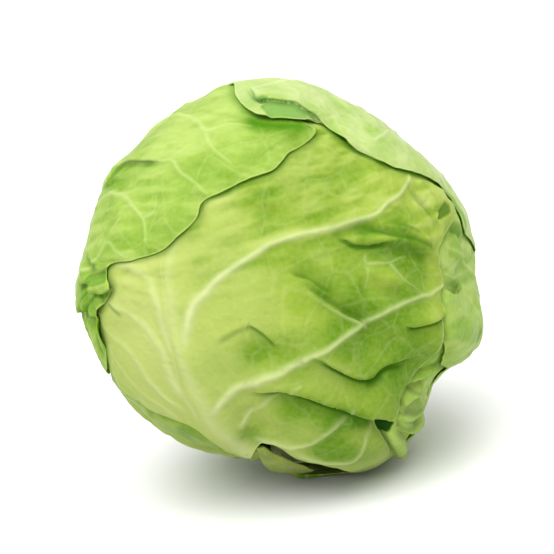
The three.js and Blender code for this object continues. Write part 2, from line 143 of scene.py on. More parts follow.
@dataclass(frozen=True)
class Ridge:
    """A soft ridge along a path, or a valley where its height is below nothing."""

    path: tuple[Place, ...]
    width: float
    height: float


@dataclass(frozen=True)
class Crease:
    """A thin line where the blade is nipped in and painted a deeper green: painted shade in the crease, and
    with no depth a painted shadow line.
    """

    path: tuple[Place, ...]
    width: float
    depth: float
    shade: float


@dataclass(frozen=True)
class Pleat:
    """A tube-like ridge, where the blade is pushed up between two creases."""

    path: tuple[Place, ...]
    width: float
    height: float


@dataclass(frozen=True)
class Swell:
    """A round bulge of the blade, or a hollow where its height is below nothing. As a colour patch, a paler
    one or a deeper green one: partly the leaf's own greens, partly painted light and shade."""

    at: Place
    reach: float
    height: float


@dataclass(frozen=True)
class Flap:
    """A turned part of a leaf: it lies a little lower and shows the darker face; where it marks a pocket,
    hole or gap between leaves, its darker green is painted shade.
    """

    outline: tuple[Place, ...]
    depth: float
    shade: float


@dataclass(frozen=True)
class LeafSize:
    """One wrapper leaf: where it lies, how it is cut, and its relief."""

    name: str
    centre: Place
    cells: int
    lift: float
    wave: float
    outline: tuple[Place, ...]
    ribs: tuple[Rib, ...]
    folds: tuple[Fold, ...] = ()
    ridges: tuple[Ridge, ...] = ()
    creases: tuple[Crease, ...] = ()
    pleats: tuple[Pleat, ...] = ()
    swells: tuple[Swell, ...] = ()
    flaps: tuple[Flap, ...] = ()
    # paler or deeper green patches: partly the leaf's own greens, partly painted light and shade
    tints_and_shading: tuple[Swell, ...] = ()
    ruffle: float = 0.7
    quilt: float = 0.45
    wrinkle: float = 0.3
    wrinkle_way: Place = (1.0, 0.3)
    wrinkle_from: Place = (20.0, 45.0)
    focus: Place = (0.0, 0.0)
    focus_pull: float = 0.0
    root: float = 0.07  # share of a branch's length over which it grows out of the rib that it leaves


LEAVES = (
    LeafSize(
        name="leaf_lower_left",
        centre=(-88, -22),
        cells=180,
        lift=0.6,
        wave=1.2,
        outline=(
            (-14, -62), (-22, -76), (-60, -83), (-125, -76), (-148, -55), (-155, -28), (-150, 0),
            (-132, 24), (-105, 34), (-75, 30), (-52, 12), (-38, -8), (-26, -28), (-18, -46),
        ),
        ribs=(
            Rib(((-70, -80), (-90, -50), (-97, -15), (-100, 20)), 7, 2.6),
            Rib(((-88, -55), (-65, -42), (-50, -20), (-44, 2)), 4, 1.2),
            Rib(((-92, -40), (-72, -20), (-66, 8)), 4, 1.1),
            Rib(((-90, -52), (-118, -40), (-136, -15)), 4, 1.2),
        ),
    ),
    LeafSize(
        name="leaf_back",
        centre=(150, -18),
        cells=220,
        lift=1.6,
        wave=2.4,
        outline=(
            (84, 0), (78, -9), (66, -15), (54, -18), (43, -23), (36, -30), (32, -38), (32, -46),
            (38, -54), (50, -61), (66, -68), (92, -76), (160, -82), (-160, -74), (-142, -50), (-138, -20),
            (-142, 12), (-160, 38), (165, 48), (130, 42), (102, 22),
        ),
        ribs=(
            Rib(((130, -80), (146, -60), (152, -25), (155, 12), (160, 38)), 8, 3.2),
            Rib(((146, -58), (118, -48), (90, -40), (70, -38)), 4.5, 1.5),
            Rib(((149, -45), (124, -28), (100, -12)), 4.5, 1.4),
            Rib(((152, -28), (135, -5), (120, 20)), 4, 1.2),
            Rib(((150, -48), (176, -36), (-156, -16)), 4.5, 1.4),
            Rib(((153, -22), (178, -2), (-160, 22)), 4, 1.2),
        ),
        ridges=(
            Ridge(((32, -40.5), (37, -41.5), (42, -42.5)), 3.2, -3.4),
            Ridge(((40, -42), (48, -44), (60, -48), (84, -50)), 2.2, -2.6),
            Ridge(((48, -39), (60, -40), (74, -39)), 2.2, -2.2),
            Ridge(((44, -33), (52, -32), (64, -30.5)), 2.2, -1.8),
        ),
        pleats=(
            Pleat(((38, -39), (42.7, -41.5), (50.5, -46.1), (60, -50), (70.7, -52.7), (84, -54.5),
                   (100, -56)), 3.6, 4.2),
            Pleat(((46, -43), (53.6, -45), (62, -46.6), (70.4, -47.1), (82.4, -45.6), (98, -44)), 3.2, 4.4),
            Pleat(((40, -38), (46.8, -40), (56.4, -42), (64, -42.2), (73, -41.7), (88, -40)), 2.8, 3.2),
            Pleat(((38, -35), (42.7, -36.5), (49.1, -35.6), (57.4, -34.8), (70, -35)), 3.2, 3.6),
            Pleat(((40, -29), (46.4, -30.1), (54.2, -29.4), (61, -28), (72, -27)), 3.0, 3.4),
        ),
        creases=(
            Crease(((39, -42), (42.1, -44.8), (45.9, -47.6), (54.1, -51.4), (60, -53)), 1.2, 0.3, 0.7),
            Crease(((47, -43.2), (51.9, -44), (64.7, -45.6), (82.7, -43.5)), 1.0, 0.3, 0.42),
            Crease(((42, -38.6), (45.9, -38.9), (64.7, -41.6), (83.4, -40.3)), 1.0, 0.3, 0.42),
            Crease(((48, -33), (52.1, -33.8), (66, -36), (79.1, -36.6)), 1.0, 0.3, 0.35),
        ),
        # painted shade in the dark hole beside the front leaf's edge
        flaps=(Flap(((32, -38.5), (40, -39), (46.5, -42.5), (44.5, -46.5), (39, -45), (32, -43)), 0.4, 1.0),),
        ruffle=1.2,
        focus=(48, -42),
        focus_pull=0.5,
    ),
    LeafSize(
        name="leaf_right",
        centre=(112, -2),
        cells=220,
        lift=1.2,
        wave=1.8,
        outline=(
            (57, -20), (64, -25), (74, -28), (84, -28), (90, -36), (92, -48), (92, -62), (112, -72),
            (150, -72), (152, -52), (160, -28), (165, 0), (158, 30), (130, 52), (85, 60), (50, 50),
            (34, 28), (36, 4), (46, -12),
        ),
        ribs=(
            Rib(((118, -72), (122, -45), (118, -10), (108, 20), (96, 48)), 7.5, 3),
            Rib(((121, -42), (104, -30), (84, -18), (70, -6)), 4, 1.5),
            Rib(((120, -25), (98, -8), (72, 5), (58, 9)), 4, 1.4),
            Rib(((116, -5), (95, 14), (70, 24)), 4, 1.3),
            Rib(((121, -30), (140, -12), (152, 12)), 4, 1.3),
            Rib(((114, 4), (132, 24), (142, 40)), 4, 1.2),
            Rib(((72, 2), (60, 0), (52, 1)), 2, 0.6, 0.5),
        ),
        folds=(Fold(((70, -2), (66, -3.6), (62, -5), (57, -4.8), (53, -2)), 2.0, 7, 1.0, 1.3, 1.0, 4),),
        ridges=(
            Ridge(((54, 1), (56.7, -1.8), (62, -2.6), (67, -1)), 2.6, -1.8),
            Ridge(((60, 14), (66, 13), (72, 10.5)), 1.8, -1.6),
            Ridge(((60, 9), (66, 8), (72, 4)), 3.5, 1.4),
        ),
        # painted shade in the gap under the front leaf's lobe
        flaps=(
            Flap(((60, 17), (66, 15.6), (71, 13.4), (70, 11.8), (65, 13), (60, 14)), 0.4, 0.6),
        ),
        creases=(
            Crease(((78, -11), (78.5, -17), (80, -24)), 1.8, 0.3, 0.55),
            Crease(((62, 16.6), (70, 14), (78, 10.5)), 1.2, 0.4, 0.5),
        ),
        focus=(62, 0),
        focus_pull=0.4,
    ),
    LeafSize(
        name="leaf_front",
        centre=(-8, -6),
        cells=276,
        lift=0.8,
        wave=0.8,
        outline=(
            (56, 36), (61, 24), (62.8, 18.4), (59.5, 14.5), (55, 11.2), (51.3, 8), (50.9, 5), (52.5, 1.4),
            (53.5, -0.8), (51.5, -3.4), (50.5, -8), (50.7, -13), (52, -19), (53, -22.5), (52, -25.5),
            (49, -29), (46.5, -32), (44.3, -35), (45, -37.6), (44, -40), (39, -41.5), (38.5, -43.6),
            (44, -47), (53, -51), (62, -55), (66, -60), (56, -63), (43, -63), (26, -62.5), (13, -61.5),
            (5.8, -59.8), (-1.3, -56.5), (-6, -55.2), (-9.5, -56), (-13, -59), (-19, -64),
            (-28, -69.5), (-37, -71.5), (-42, -67), (-38, -59), (-38, -51), (-43, -45), (-55, -42),
            (-65, -36), (-70, -29), (-76, -20), (-84, -8), (-96, 8), (-98, 28), (-82, 48), (-45, 66),
            (5, 72), (38, 62), (50, 48),
        ),
        ribs=(
            Rib(((-12, -74), (-18, -66), (-21.5, -58.9), (-24.1, -51.5), (-26.1, -43.8), (-27.1, -35.4),
                 (-28.8, -26.8), (-30.3, -18.1), (-31.4, -8.5), (-31.6, -0.5), (-31, 10), (-26, 30)),
                9, 3.4, 0.6, 0.0),
            Rib(((-20, -62), (-24, -52), (-26, -42), (-27, -30)), 3.4, 0.5, 0.4, 0.2),
            Rib(((-33, -46), (-33.5, -36), (-33.5, -24), (-33, -12), (-34, 0), (-36, 12)), 3.4, 0.7, 0.5,
                0.2),
            Rib(((-34, -24), (-34.4, -18), (-35.1, -11.5), (-36.8, -4.8), (-39.4, 0), (-44.5, 2.7), (-52, 4)),
                5.0, 1.1, 0.7),
            Rib(((-33, -38), (-34.5, -32), (-36.5, -25.8), (-37.7, -19.6), (-42.1, -13.5), (-47.9, -9.7),
                 (-55, -6.8), (-61, -5)), 5.0, 1.3, 0.7),
            Rib(((-36, -43), (-42.9, -32.6), (-46.6, -28.8), (-50.2, -22), (-57.7, -16.9), (-62, -13)),
                4.2, 1.0, 0.6),
            Rib(((-40, -46), (-47, -38.9), (-54.9, -32.4), (-60.3, -24.7), (-63, -18.8)), 2.6, 0.6, 0.5),
            Rib(((-29, -24), (-28, -17), (-26.6, -10.6), (-24.5, -7.1), (-21.7, -4.7), (-16.6, -0.3),
                 (-12.8, 2.7), (-8, 6), (0.9, 10.8), (8.2, 12.9), (18.1, 14.9), (27.6, 17.8), (33.5, 21.3),
                 (40.2, 24.4), (45.3, 27.5), (47, 31)), 4.8, 2.3, 1.1),
            Rib(((-33, -45), (-25, -39.4), (-20.2, -36.2), (-14, -32.4), (-6.5, -29.3), (1, -25.3),
                 (5.9, -23.2), (11.5, -20.7), (19.7, -16), (28.2, -11.2), (37.6, -6.4), (49.2, -3.5),
                 (54, -2)), 4.8, 2.3, 1.0),
            Rib(((27, -15.4), (24, -13.5), (19.2, -11.5), (15.8, -9.5), (12.9, -7.8), (8.5, -4.6)), 1.5,
                0.3, 0.5),
            Rib(((-16, -54), (-6, -54.4), (4.9, -54), (11, -51.5), (16.2, -47.8), (20.7, -43.1),
                 (23.7, -39.5), (24.3, -37)), 4, 1.4, 0.8),
            Rib(((4, -57), (20, -58.5), (30, -58), (36.7, -55.8), (35.8, -50.3), (35.1, -45), (37.6, -41.5)),
                3.6, 1.2, 0.8),
            Rib(((-18, -49), (-12.3, -43.9), (-6.6, -39.4), (-1.6, -34.8), (6.4, -30.5)), 3.6, 1.0, 0.7),
            Rib(((25.2, 6.9), (24.8, 3.4), (24.8, 1.1), (24.5, -3.1)), 1.5, 0.25, 0.5),
            Rib(((24, 3.3), (27.8, 3.6), (31.6, 3.9), (35.9, 5.9), (38.5, 6.6)), 1.5, 0.25, 0.5),
            Rib(((31, 4.2), (33.7, 1.7), (36.3, -0.8), (42.5, -4.9)), 1.6, 0.3, 0.45),
        ),
        folds=(
            Fold(((-12, -34), (-7, -34), (0, -32), (7, -33), (14, -35), (22, -37), (31, -39), (37, -40),
                  (46, -41), (56, -40), (64, -38)), 2.8, 18, 1.8, 0.8, 2.6, 8, 1.0),
            Fold(((7, -20.5), (12, -22.7), (16, -24.5), (21.5, -27), (25, -28), (29, -27.7), (31, -26),
                  (34, -24.5), (38, -23.7), (43, -23), (50, -23)), 1.5, 10, 0.9, 1.0, 1.0, 4, 1.0),
            Fold(((37, -13.4), (40, -13), (43.5, -12), (48.2, -10.6), (50.7, -9), (53, -6)), 1.6, 7, 1.0, 0.9,
                 1.0, 4, 0.9),
            Fold(((28, -15), (24.5, -12.6), (19.5, -10.5), (16.1, -8.5), (13.4, -6.8), (9.5, -4.2),
                  (4, -0.6)), 1.7, 12, 1.2, 0.3, 1.8, 7, 0.4),
            Fold(((15, -5), (12.1, -3.6), (9, -1.4), (5.8, 0), (1, 1.4)), 0.9, 8, 1.0, 0.3, 0.8, 5, 0.6),
            Fold(((15.5, 13), (19.2, 10.8), (21.8, 9.5), (25.6, 9.2), (29.2, 9.7), (34, 10)), 0.9, 6, 0.9,
                 0.5, 0.9, 4, 0.9),
            Fold(((-10.5, -14), (-8.4, -13.2), (-5.2, -15.1), (-2.3, -17.7), (0, -20)), 0.6, 6, 0.8, 0.3, 0.3,
                 4, 0.7),
        ),
        ridges=(
            Ridge(((-5, -51), (-8, -48), (-10.4, -44.6), (-12.2, -38.6)), 5.0, -2.4),
            Ridge(((-21, -62), (-17, -56), (-14, -52), (-13, -48)), 4.0, -1.8),
            Ridge(((44, 30), (46, 24), (49, 19), (52, 16)), 2.6, -1.0),
            Ridge(((-20, -17.5), (-15.1, -15.2), (-11.5, -14.1), (-8, -13)), 1.6, 0.5),
            Ridge(((13, 11.5), (21.4, 13.7), (26.2, 14.1), (31.5, 13.3), (36, 12)), 3.2, -2.0),
            Ridge(((16, 12.5), (20.9, 11.8), (22.8, 11.4), (28.8, 10.6), (34.2, 10.4), (40, 9.7), (44.7, 8.3),
                   (50.2, 5.9), (53.7, 3.7), (56.5, 0)), 1.8, 1.7),
            Ridge(((29, 14.9), (34.2, 14.2), (38.5, 13.5), (40.2, 12.4), (45.9, 10.4), (49, 8)), 1.4, 1.2),
            Ridge(((35, 15.5), (40.9, 13.6), (45.3, 11.6), (48.6, 9.4)), 1.2, 0.8),
            Ridge(((43, 22.5), (46.2, 19.6), (51.8, 15.5), (54, 9.6)), 1.6, 1.0),
            Ridge(((49, 21.5), (53.5, 16.1), (54, 11.3)), 1.4, 0.8),
            Ridge(((49.6, 30), (51, 26), (52.2, 22), (53, 18.4)), 1.5, 0.9),
            Ridge(((29, 7.6), (34, 7.6), (40, 6.8), (46, 5), (51, 2.6)), 3.0, -1.8),
            Ridge(((22, 3.2), (28.9, 0.9), (32.9, -0.5), (36.3, -2.2), (42.5, -4.9)), 3.2, 1.8),
            Ridge(((22, -3), (26, -3.4), (32, -4), (37, -5)), 3.6, -1.3),
            Ridge(((22, -14.5), (27, -14.8), (31, -16), (35, -17.5), (40, -18)), 4.0, -1.2),
            Ridge(((20, -45), (25, -46), (31, -45.5), (36, -44)), 5.5, -1.8),
            Ridge(((-6, 30), (2, 31), (10, 29), (20, 27)), 4.0, 0.7),
        ),
        creases=(
            Crease(((20, 13.9), (28, 13.5), (33.5, 11.9), (40.2, 10.8), (45.6, 9.2), (51.4, 6.8)), 1.4, 0.3,
                   0.7),
            Crease(((33, 15.4), (38, 14.4), (41, 13.4), (44, 12.4)), 1.2, 0.3, 0.45),
            Crease(((30, 8.4), (36, 8.3), (42, 6.8), (47, 4.4)), 2.6, 0.2, 0.4),
            Crease(((13.5, 12), (21.4, 13.2), (26.2, 13.2)), 2.6, 0.2, 0.4),
            Crease(((44, 27), (47.5, 22), (50.3, 17), (52, 12.5)), 1.6, 0.3, 0.35),
            Crease(((39.4, -14), (41.2, -13.6), (43.5, -13)), 1.3, 0.3, 1.0),
            Crease(((18.5, -26.4), (23.7, -28.6), (26.9, -29.2), (29.8, -29), (31.8, -28), (33.5, -26.8),
                    (36, -25.8), (41.4, -25.6), (46.2, -24.6)), 1.6, 0.3, 1.0),
            Crease(((26.5, -29.6), (29.5, -29.2), (31.8, -28), (34, -26.4)), 2.8, 0.4, 1.0),
            Crease(((-60, -6), (-54.6, -8.3), (-50, -11)), 1.0, 0.2, 0.5),
            # painted shadows along the edges of the left leaf and of the crown leaf, which lie over this one
            Crease(((15, 45), (10.9, 42.1), (6.2, 39.2), (2.8, 36.6), (0.9, 34), (-3, 30.4),
                    (-9, 28), (-17, 24), (-22, 22), (-25, 17), (-30, 12), (-36.6, 7.2), (-43, 5.6)),
                   1.1, 0.0, 0.75),
            Crease(((18.2, 49.3), (21.8, 46.3), (27.2, 39.8), (33, 36), (40.2, 32.7), (49, 30.8), (57, 28.6),
                    (64, 25.5)), 1.9, 0.0, 0.85),
            Crease(((-7.6, -13.4), (-11.5, -15), (-15.2, -16.9), (-19.7, -19.2)), 1.2, 0.3, 0.3),
            Crease(((26, -41.6), (31, -42.3), (36, -42.6)), 3.2, 0.3, 0.8),
        ),
        # painted shade in the pocket under the margin
        flaps=(
            Flap(((51.9, 16.1), (54.1, 19), (56.7, 21.3), (59.2, 19.9), (59.6, 18.3), (57.2, 17.3)), 0.9,
                 0.7),
        ),
        swells=(
            Swell((58, 21), 8, 1.6),
            Swell((-4, -31), 9, 1.6),
            Swell((15, -40), 9, 1.0),
        ),
        # partly the leaf's own greens, partly painted shade in hollows and under folds and painted light on
        # crests
        tints_and_shading=(
            Swell((-48, -8), 26, 0.5), Swell((-50, -30), 22, 0.3), Swell((-5, -12), 14, 0.25),
            Swell((33, -11), 16, -0.8), Swell((42, -30), 20, -0.7), Swell((33, 6), 9, -0.7),
            Swell((25, 13.6), 5, -0.8), Swell((37, 12), 4, -0.6), Swell((45, 20), 9, 0.6),
            Swell((24.5, -10.5), 5, -1.2), Swell((13, -4), 5, -0.6), Swell((31, 0.5), 5, 0.5),
            Swell((8, -42), 12, -0.5), Swell((24, -40), 6, -1.2), Swell((22, -53), 8, -0.9),
            Swell((42, -53), 12, -0.4), Swell((46, -10), 4, 0.5),
            Swell((-5, 20.5), 9, -0.6), Swell((16, 27), 10, -0.05), Swell((6, -5), 8, -0.4),
            Swell((0, -20), 10, -0.3), Swell((-15, -53), 7, -0.55), Swell((20, -14.5), 8, -1.0),
            Swell((16, -26), 6, 0.35), Swell((-8, -21), 6, -0.5),
            Swell((22, -5), 6, -0.8), Swell((42, 5), 5, -0.7), Swell((17, 1), 7, -0.4),
            Swell((44, 17), 5, -0.5), Swell((58, 24), 5, 0.5), Swell((9, -45), 7, 0.4),
        ),
        ruffle=0.7,
        wrinkle=0.4,
        wrinkle_from=(70.0, 100.0),
        focus=(40, -22),
        focus_pull=0.25,
        root=0.14,
    ),
    LeafSize(
        name="leaf_left",
        centre=(-105, 8),
        cells=256,
        lift=0.15,
        wave=1.2,
        outline=(
            (7, 51), (10.5, 48.5), (14.2, 46.4), (14.4, 45), (10.9, 42.1), (6.2, 39.2),
            (2.8, 36.6), (0.9, 34), (-3, 30.4), (-9, 28), (-17, 24), (-22, 22), (-25, 17), (-30, 12),
            (-36.6, 7.2), (-43, 5.6), (-47, 4.6), (-51.6, 4.4), (-55.5, 2.8), (-55, 0.5), (-52.6, -2),
            (-55.7, -4.8), (-59, -7), (-63, -10), (-64.6, -14), (-64.8, -19), (-67, -24), (-77, -28),
            (-90, -30), (-102, -42), (-112, -58), (-135, -72), (-170, -72), (-175, -50),
            (-175, -20), (-180, 10), (170, 40), (140, 66), (60, 74), (15, 66), (6, 56),
        ),
        ribs=(
            Rib(((-130, -72), (-122, -45), (-113, -12), (-106, 15), (-96, 42), (-70, 60)), 7.5, 3.2),
            Rib(((-110, -2), (-88, 14), (-67, 24), (-55, 23), (-49, 20), (-44, 17), (-42, 13), (-41, 10)),
                3.4, 1.1, 0.9),
            Rib(((-44, 17), (-40, 19), (-41, 24)), 2, 0.5, 0.6),
            Rib(((-104, 18), (-80, 32), (-64, 35), (-52, 35), (-41, 35), (-34, 31), (-27, 27), (-22, 24)),
                3.4, 1.2, 0.9),
            Rib(((-41, 35), (-39, 37), (-34, 41)), 2, 0.5, 0.6),
            Rib(((-99, 36), (-82, 50), (-69, 54), (-45, 51), (-38, 49), (-30, 45), (-20, 46), (-11, 46)),
                3.4, 1.2, 0.9),
            Rib(((-30, 45), (-27, 42), (-23, 38), (-19, 35), (-16, 33)), 2.4, 0.7, 0.7),
            Rib(((-118, -28), (-98, -12), (-80, 0), (-64, 4), (-58, 10), (-52, 8), (-47, 6)), 3.4, 0.9, 0.8),
            Rib(((-53, 17), (-56, 14), (-57, 10)), 1.8, 0.5, 0.6),
            Rib(((-113, -10), (-134, 4), (-152, 26)), 4.5, 1.4),
            Rib(((-120, -35), (-140, -22), (-158, -2)), 4.5, 1.4),
            Rib(((-103, 22), (-125, 42), (-148, 56)), 4, 1.3),
        ),
        folds=(
            Fold(((-90, 26), (-72, 27.3), (-71, 29.2), (-71, 33), (-67, 35), (-56, 35), (-49, 35),
                  (-41, 34.5)), 1.4, 8, 1.2, 0.7, 1.0, 4),
            Fold(((-79, -0.6), (-74, -1.6), (-67.6, -1.3), (-60, -4), (-55, -3.4), (-50, -1)), 1.3, 8, 1.1,
                 0.9, 2.0, 5),
            Fold(((-90, -8), (-80, -9.5), (-74, -8), (-68, -10), (-62, -11)), 0.8, 7, 1.0, 0.9, 1.6, 4),
        ),
        ridges=(
            Ridge(((-56, 2.4), (-60, 0.5), (-66, 1.5), (-73, 4)), 2.4, -2.0),
            Ridge(((-66, -4), (-69, -10), (-68, -17)), 2.0, -1.8),
            Ridge(((-75, -5), (-77, -12), (-76, -20)), 2.0, -1.8),
            Ridge(((-78, 9), (-66.7, 5.6), (-62.4, 3.6), (-59.6, 2.6)), 1.5, 0.9),
            Ridge(((-80, 4.6), (-73.6, 2.8), (-67.6, 0), (-62, -1.4)), 1.4, 0.8),
        ),
        pleats=(
            Pleat(((-60, 2), (-62, -3), (-60.5, -9), (-64, -15), (-64, -22)), 2.6, 1.6),
            Pleat(((-70, 4), (-72, -2), (-71, -8), (-72.5, -16), (-72, -24)), 3.2, 0.7),
            Pleat(((-81, 2), (-80, -5), (-81, -12), (-80, -22)), 3.4, 0.2),
        ),
        creases=(
            # painted shadow under the crown leaf's folded tip
            Crease(((-20, 51.5), (-12.5, 48), (-9, 46.4), (-5.1, 45.3), (0.1, 45.2), (4.7, 45.4), (10, 45.8),
                    (16, 46)), 2.8, 0.1, 0.95),
            Crease(((4, 48.2), (6.6, 47.7), (9.1, 47.4), (11.4, 46.3), (13.6, 45.2)), 1.0, 0.3, 0.9),
            Crease(((-58, -3.6), (-61, -4.4), (-65, -6.4), (-70, -9), (-73, -13)), 1.3, 0.5, 0.8),
            Crease(((-67, -3), (-71, -5.4), (-78, -9), (-82, -14)), 1.3, 0.5, 0.7),
            Crease(((-62, -11), (-66, -13), (-68.4, -18), (-69, -24)), 1.3, 0.4, 0.7),
            Crease(((-60, 3.4), (-66, 3.6), (-73, 6.6)), 1.4, 0.4, 0.5),
        ),
        # the first is the curl's darker face; the second is painted shade in the strip along the edge
        flaps=(
            Flap(((-56, 3), (-60, 1.5), (-67, 1), (-68, -2), (-62, -2.6), (-55, -1.4)), 0.4, 0.6),
            Flap(((-63.5, -10.5), (-66, -11), (-66.5, -18), (-66.5, -24), (-64.2, -24)), 0.2, 0.6),
        ),
        # the first three are painted shadow under the crown leaf's tip; the others are partly the leaf's own
        # greens, partly painted shade
        tints_and_shading=(
            Swell((-2, 45.4), 4.5, -1.2), Swell((5, 45.6), 4, -1.2), Swell((-8, 46), 4, -0.9),
            Swell((-62, 28), 12, -0.35), Swell((-25, 30), 12, -0.4), Swell((-35, 45), 18, 0.3),
            Swell((-72, -8), 14, -0.6),
        ),
        ruffle=0.18,
        quilt=0.55,
        focus=(-45, 10),
        focus_pull=0.35,
    ),
    LeafSize(
        name="leaf_crown",
        centre=(130, 25),
        cells=236,
        lift=0.15,
        wave=1.0,
        outline=(
            (-45, 70), (-23.5, 60), (-13.2, 50.8), (-8.7, 48.2), (-5.4, 47.5), (-1.4, 47.4), (3, 47.5),
            (6.4, 47.7), (10.2, 48.3), (14.2, 49.4), (18.2, 49.3), (21.8, 46.3), (27.2, 39.8), (33, 36),
            (40.2, 32.7), (49, 30.8), (57, 28.6), (64, 25.5), (69, 21), (73, 14.5), (84, 10), (95, 4),
            (100, -8), (100, -24), (104, -40), (112, -56), (126, -68), (165, -76),
            (-165, -66), (-160, -40), (-158, -10), (-150, 20), (-130, 45), (-95, 64),
        ),
        ribs=(
            Rib(((158, -74), (162, -45), (160, -12), (150, 20), (130, 46), (85, 66)), 8, 3.4),
            Rib(((152, 14), (125, 28), (95, 32), (66, 30)), 4, 1.3),
            Rib(((138, 38), (105, 50), (70, 50), (40, 42)), 4, 1.3),
            Rib(((161, -30), (140, -20), (115, -6), (92, 6)), 4.5, 1.5),
            Rib(((157, 2), (175, 20), (-166, 34)), 4.5, 1.4),
            Rib(((142, 32), (168, 56), (-150, 64)), 4.5, 1.3),
            Rib(((110, 58), (60, 72), (0, 70), (-15, 62)), 4, 1.2),
            Rib(((162, -36), (178, -20), (-174, -6)), 4, 1.3),
        ),
        folds=(
            Fold(((-22, 66), (-16, 61.5), (-11, 57.5), (-7.2, 56.8), (-3.6, 56), (3.1, 55.4), (7.8, 54.6),
                  (11, 53.3), (15.8, 51.8), (20, 48.6), (25, 43.5)), 1.8, 9, 0.9, 0.8, 0.8, 4, 1.0),
            Fold(((-2, 46.4), (-5, 48.4), (-7.2, 50.4), (-7.7, 51.8), (-6.6, 53.8), (-5.1, 55.7)),
                 0.9, 5, 0.6, 0.3, 0.0, 4, 0.4),
        ),
        swells=(Swell((2, 48), 10, 1.4),),
        ridges=(
            Ridge(((-14, 60), (-11, 57.2), (-8, 55.6), (-6, 54.8)), 1.6, -2.4),
            Ridge(((-22, 56), (-14, 50.6), (-8, 48.8), (-2, 48)), 2.4, 0.9),
        ),
        # the first is the folded tip's darker face; the second is painted shade in the pocket beside it; the
        # third is the margin's darker face and painted shade along it
        flaps=(
            Flap(((-7.7, 51.6), (-5, 55.4), (2.2, 55.2), (7.7, 54.2), (11, 53), (12, 50.6), (11, 47.6),
                  (5.1, 47.2), (0.2, 46.8), (-4.4, 46.9)), 0.5, 0.8),
            Flap(((-12.6, 58.6), (-5.6, 57), (-5.2, 55.2), (-7.6, 53), (-9.6, 54.4)), 0.4, 1.0),
            Flap(((62, 25.8), (68, 22.6), (72.5, 17), (77, 11), (77, 13), (74, 18), (70, 22.8), (64, 26.8)),
                 0.2, 0.7),
        ),
        ruffle=0.18,
        focus=(18, 48),
        focus_pull=0.45,
    ),
)


def smooth(x: Array | float) -> Array:
    """A soft step, from 0 at 0 to 1 at 1."""
    part = np.clip(x, 0.0, 1.0)
    return part * part * (3.0 - 2.0 * part)


def bell(x: Array) -> Array:
    """A soft hump, 1 at 0 and falling off to both sides."""
    return np.exp(-(x ** 2))


def direction(place: Place) -> Array:
    """The unit vector that points at a place on the head, in the head's own frame."""
    lon, lat = math.radians(place[0]), math.radians(place[1])
    return np.array((math.sin(lon) * math.cos(lat), -math.cos(lon) * math.cos(lat), math.sin(lat)))


def unit(vectors: Array) -> Array:
    """Vectors of the same directions, one long."""
    return vectors / np.maximum(np.linalg.norm(vectors, axis=-1, keepdims=True), 1e-12)


class RoundCurve:
    """A value at every angle, on a smooth closed curve through some known ones."""

    def __init__(self, angles: Array, values: Array) -> None:
        """Keeps the known values in order of angle.

        Args:
            angles: The known angles, in degrees from 0 to 360.
            values: The value at each of them.
        """
        order = np.argsort(angles)
        self.angles, self.values = np.asarray(angles)[order], np.asarray(values)[order]

    def at(self, angle: Array) -> Array:
        """The curve's value.

        Args:
            angle: Angles in degrees.

        Returns:
            One value for each angle.
        """
        count = len(self.angles)
        turned = np.mod(angle, 360.0)
        after = np.searchsorted(self.angles, turned, side="right") % count
        spots = [(after + k) % count for k in (-2, -1, 0, 1)]
        (a0, a1, a2, a3), (v0, v1, v2, v3) = ([x[s] for s in spots] for x in (self.angles, self.values))
        span = np.mod(a2 - a1, 360.0)
        mid = (v2 - v1) / span
        leave = span * ((v1 - v0) / np.mod(a1 - a0, 360.0) + mid) / 2
        arrive = span * (mid + (v3 - v2) / np.mod(a3 - a2, 360.0)) / 2
        t = np.mod(turned - a1, 360.0) / span
        fall = (1 - t) ** 2
        return (1 + 2 * t) * fall * v1 + t * fall * leave + t * t * ((3 - 2 * t) * v2 - (1 - t) * arrive)


class Noise:
    """A smooth random field with no direction of its own, from -1 to 1."""

    def __init__(self, seed: int, side: int = 32) -> None:
        """Fills the field's lattice.

        Args:
            seed: What the random values start from.
            side: How many lattice points it has each way before it repeats.
        """
        self.side = side
        self.lattice = np.random.default_rng(seed).uniform(-1.0, 1.0, (side, side, side))

    def at(self, points: Array) -> Array:
        """The field's value.

        Args:
            points: Points, one a row, in units of the lattice's spacing.

        Returns:
            One value for each point.
        """
        cell = np.floor(points).astype(int)
        part = points - cell
        part = part ** 3 * (part * (part * 6 - 15) + 10)
        low, high = np.mod(cell, self.side), np.mod(cell + 1, self.side)
        total = np.zeros(len(points))
        for corner in range(8):
            pick = [(corner >> axis) & 1 for axis in range(3)]
            index = [high[:, axis] if pick[axis] else low[:, axis] for axis in range(3)]
            weight = np.ones(len(points))
            for axis in range(3):
                weight = weight * (part[:, axis] if pick[axis] else 1 - part[:, axis])
            total += weight * self.lattice[index[0], index[1], index[2]]
        return total


@dataclass
class Nearness:
    """How points lie to a path: millimetres away, share of it passed, millimetres to its left, and
    the unit vector to its left."""

    distance: Array
    share: Array
    lateral: Array
    left: Array


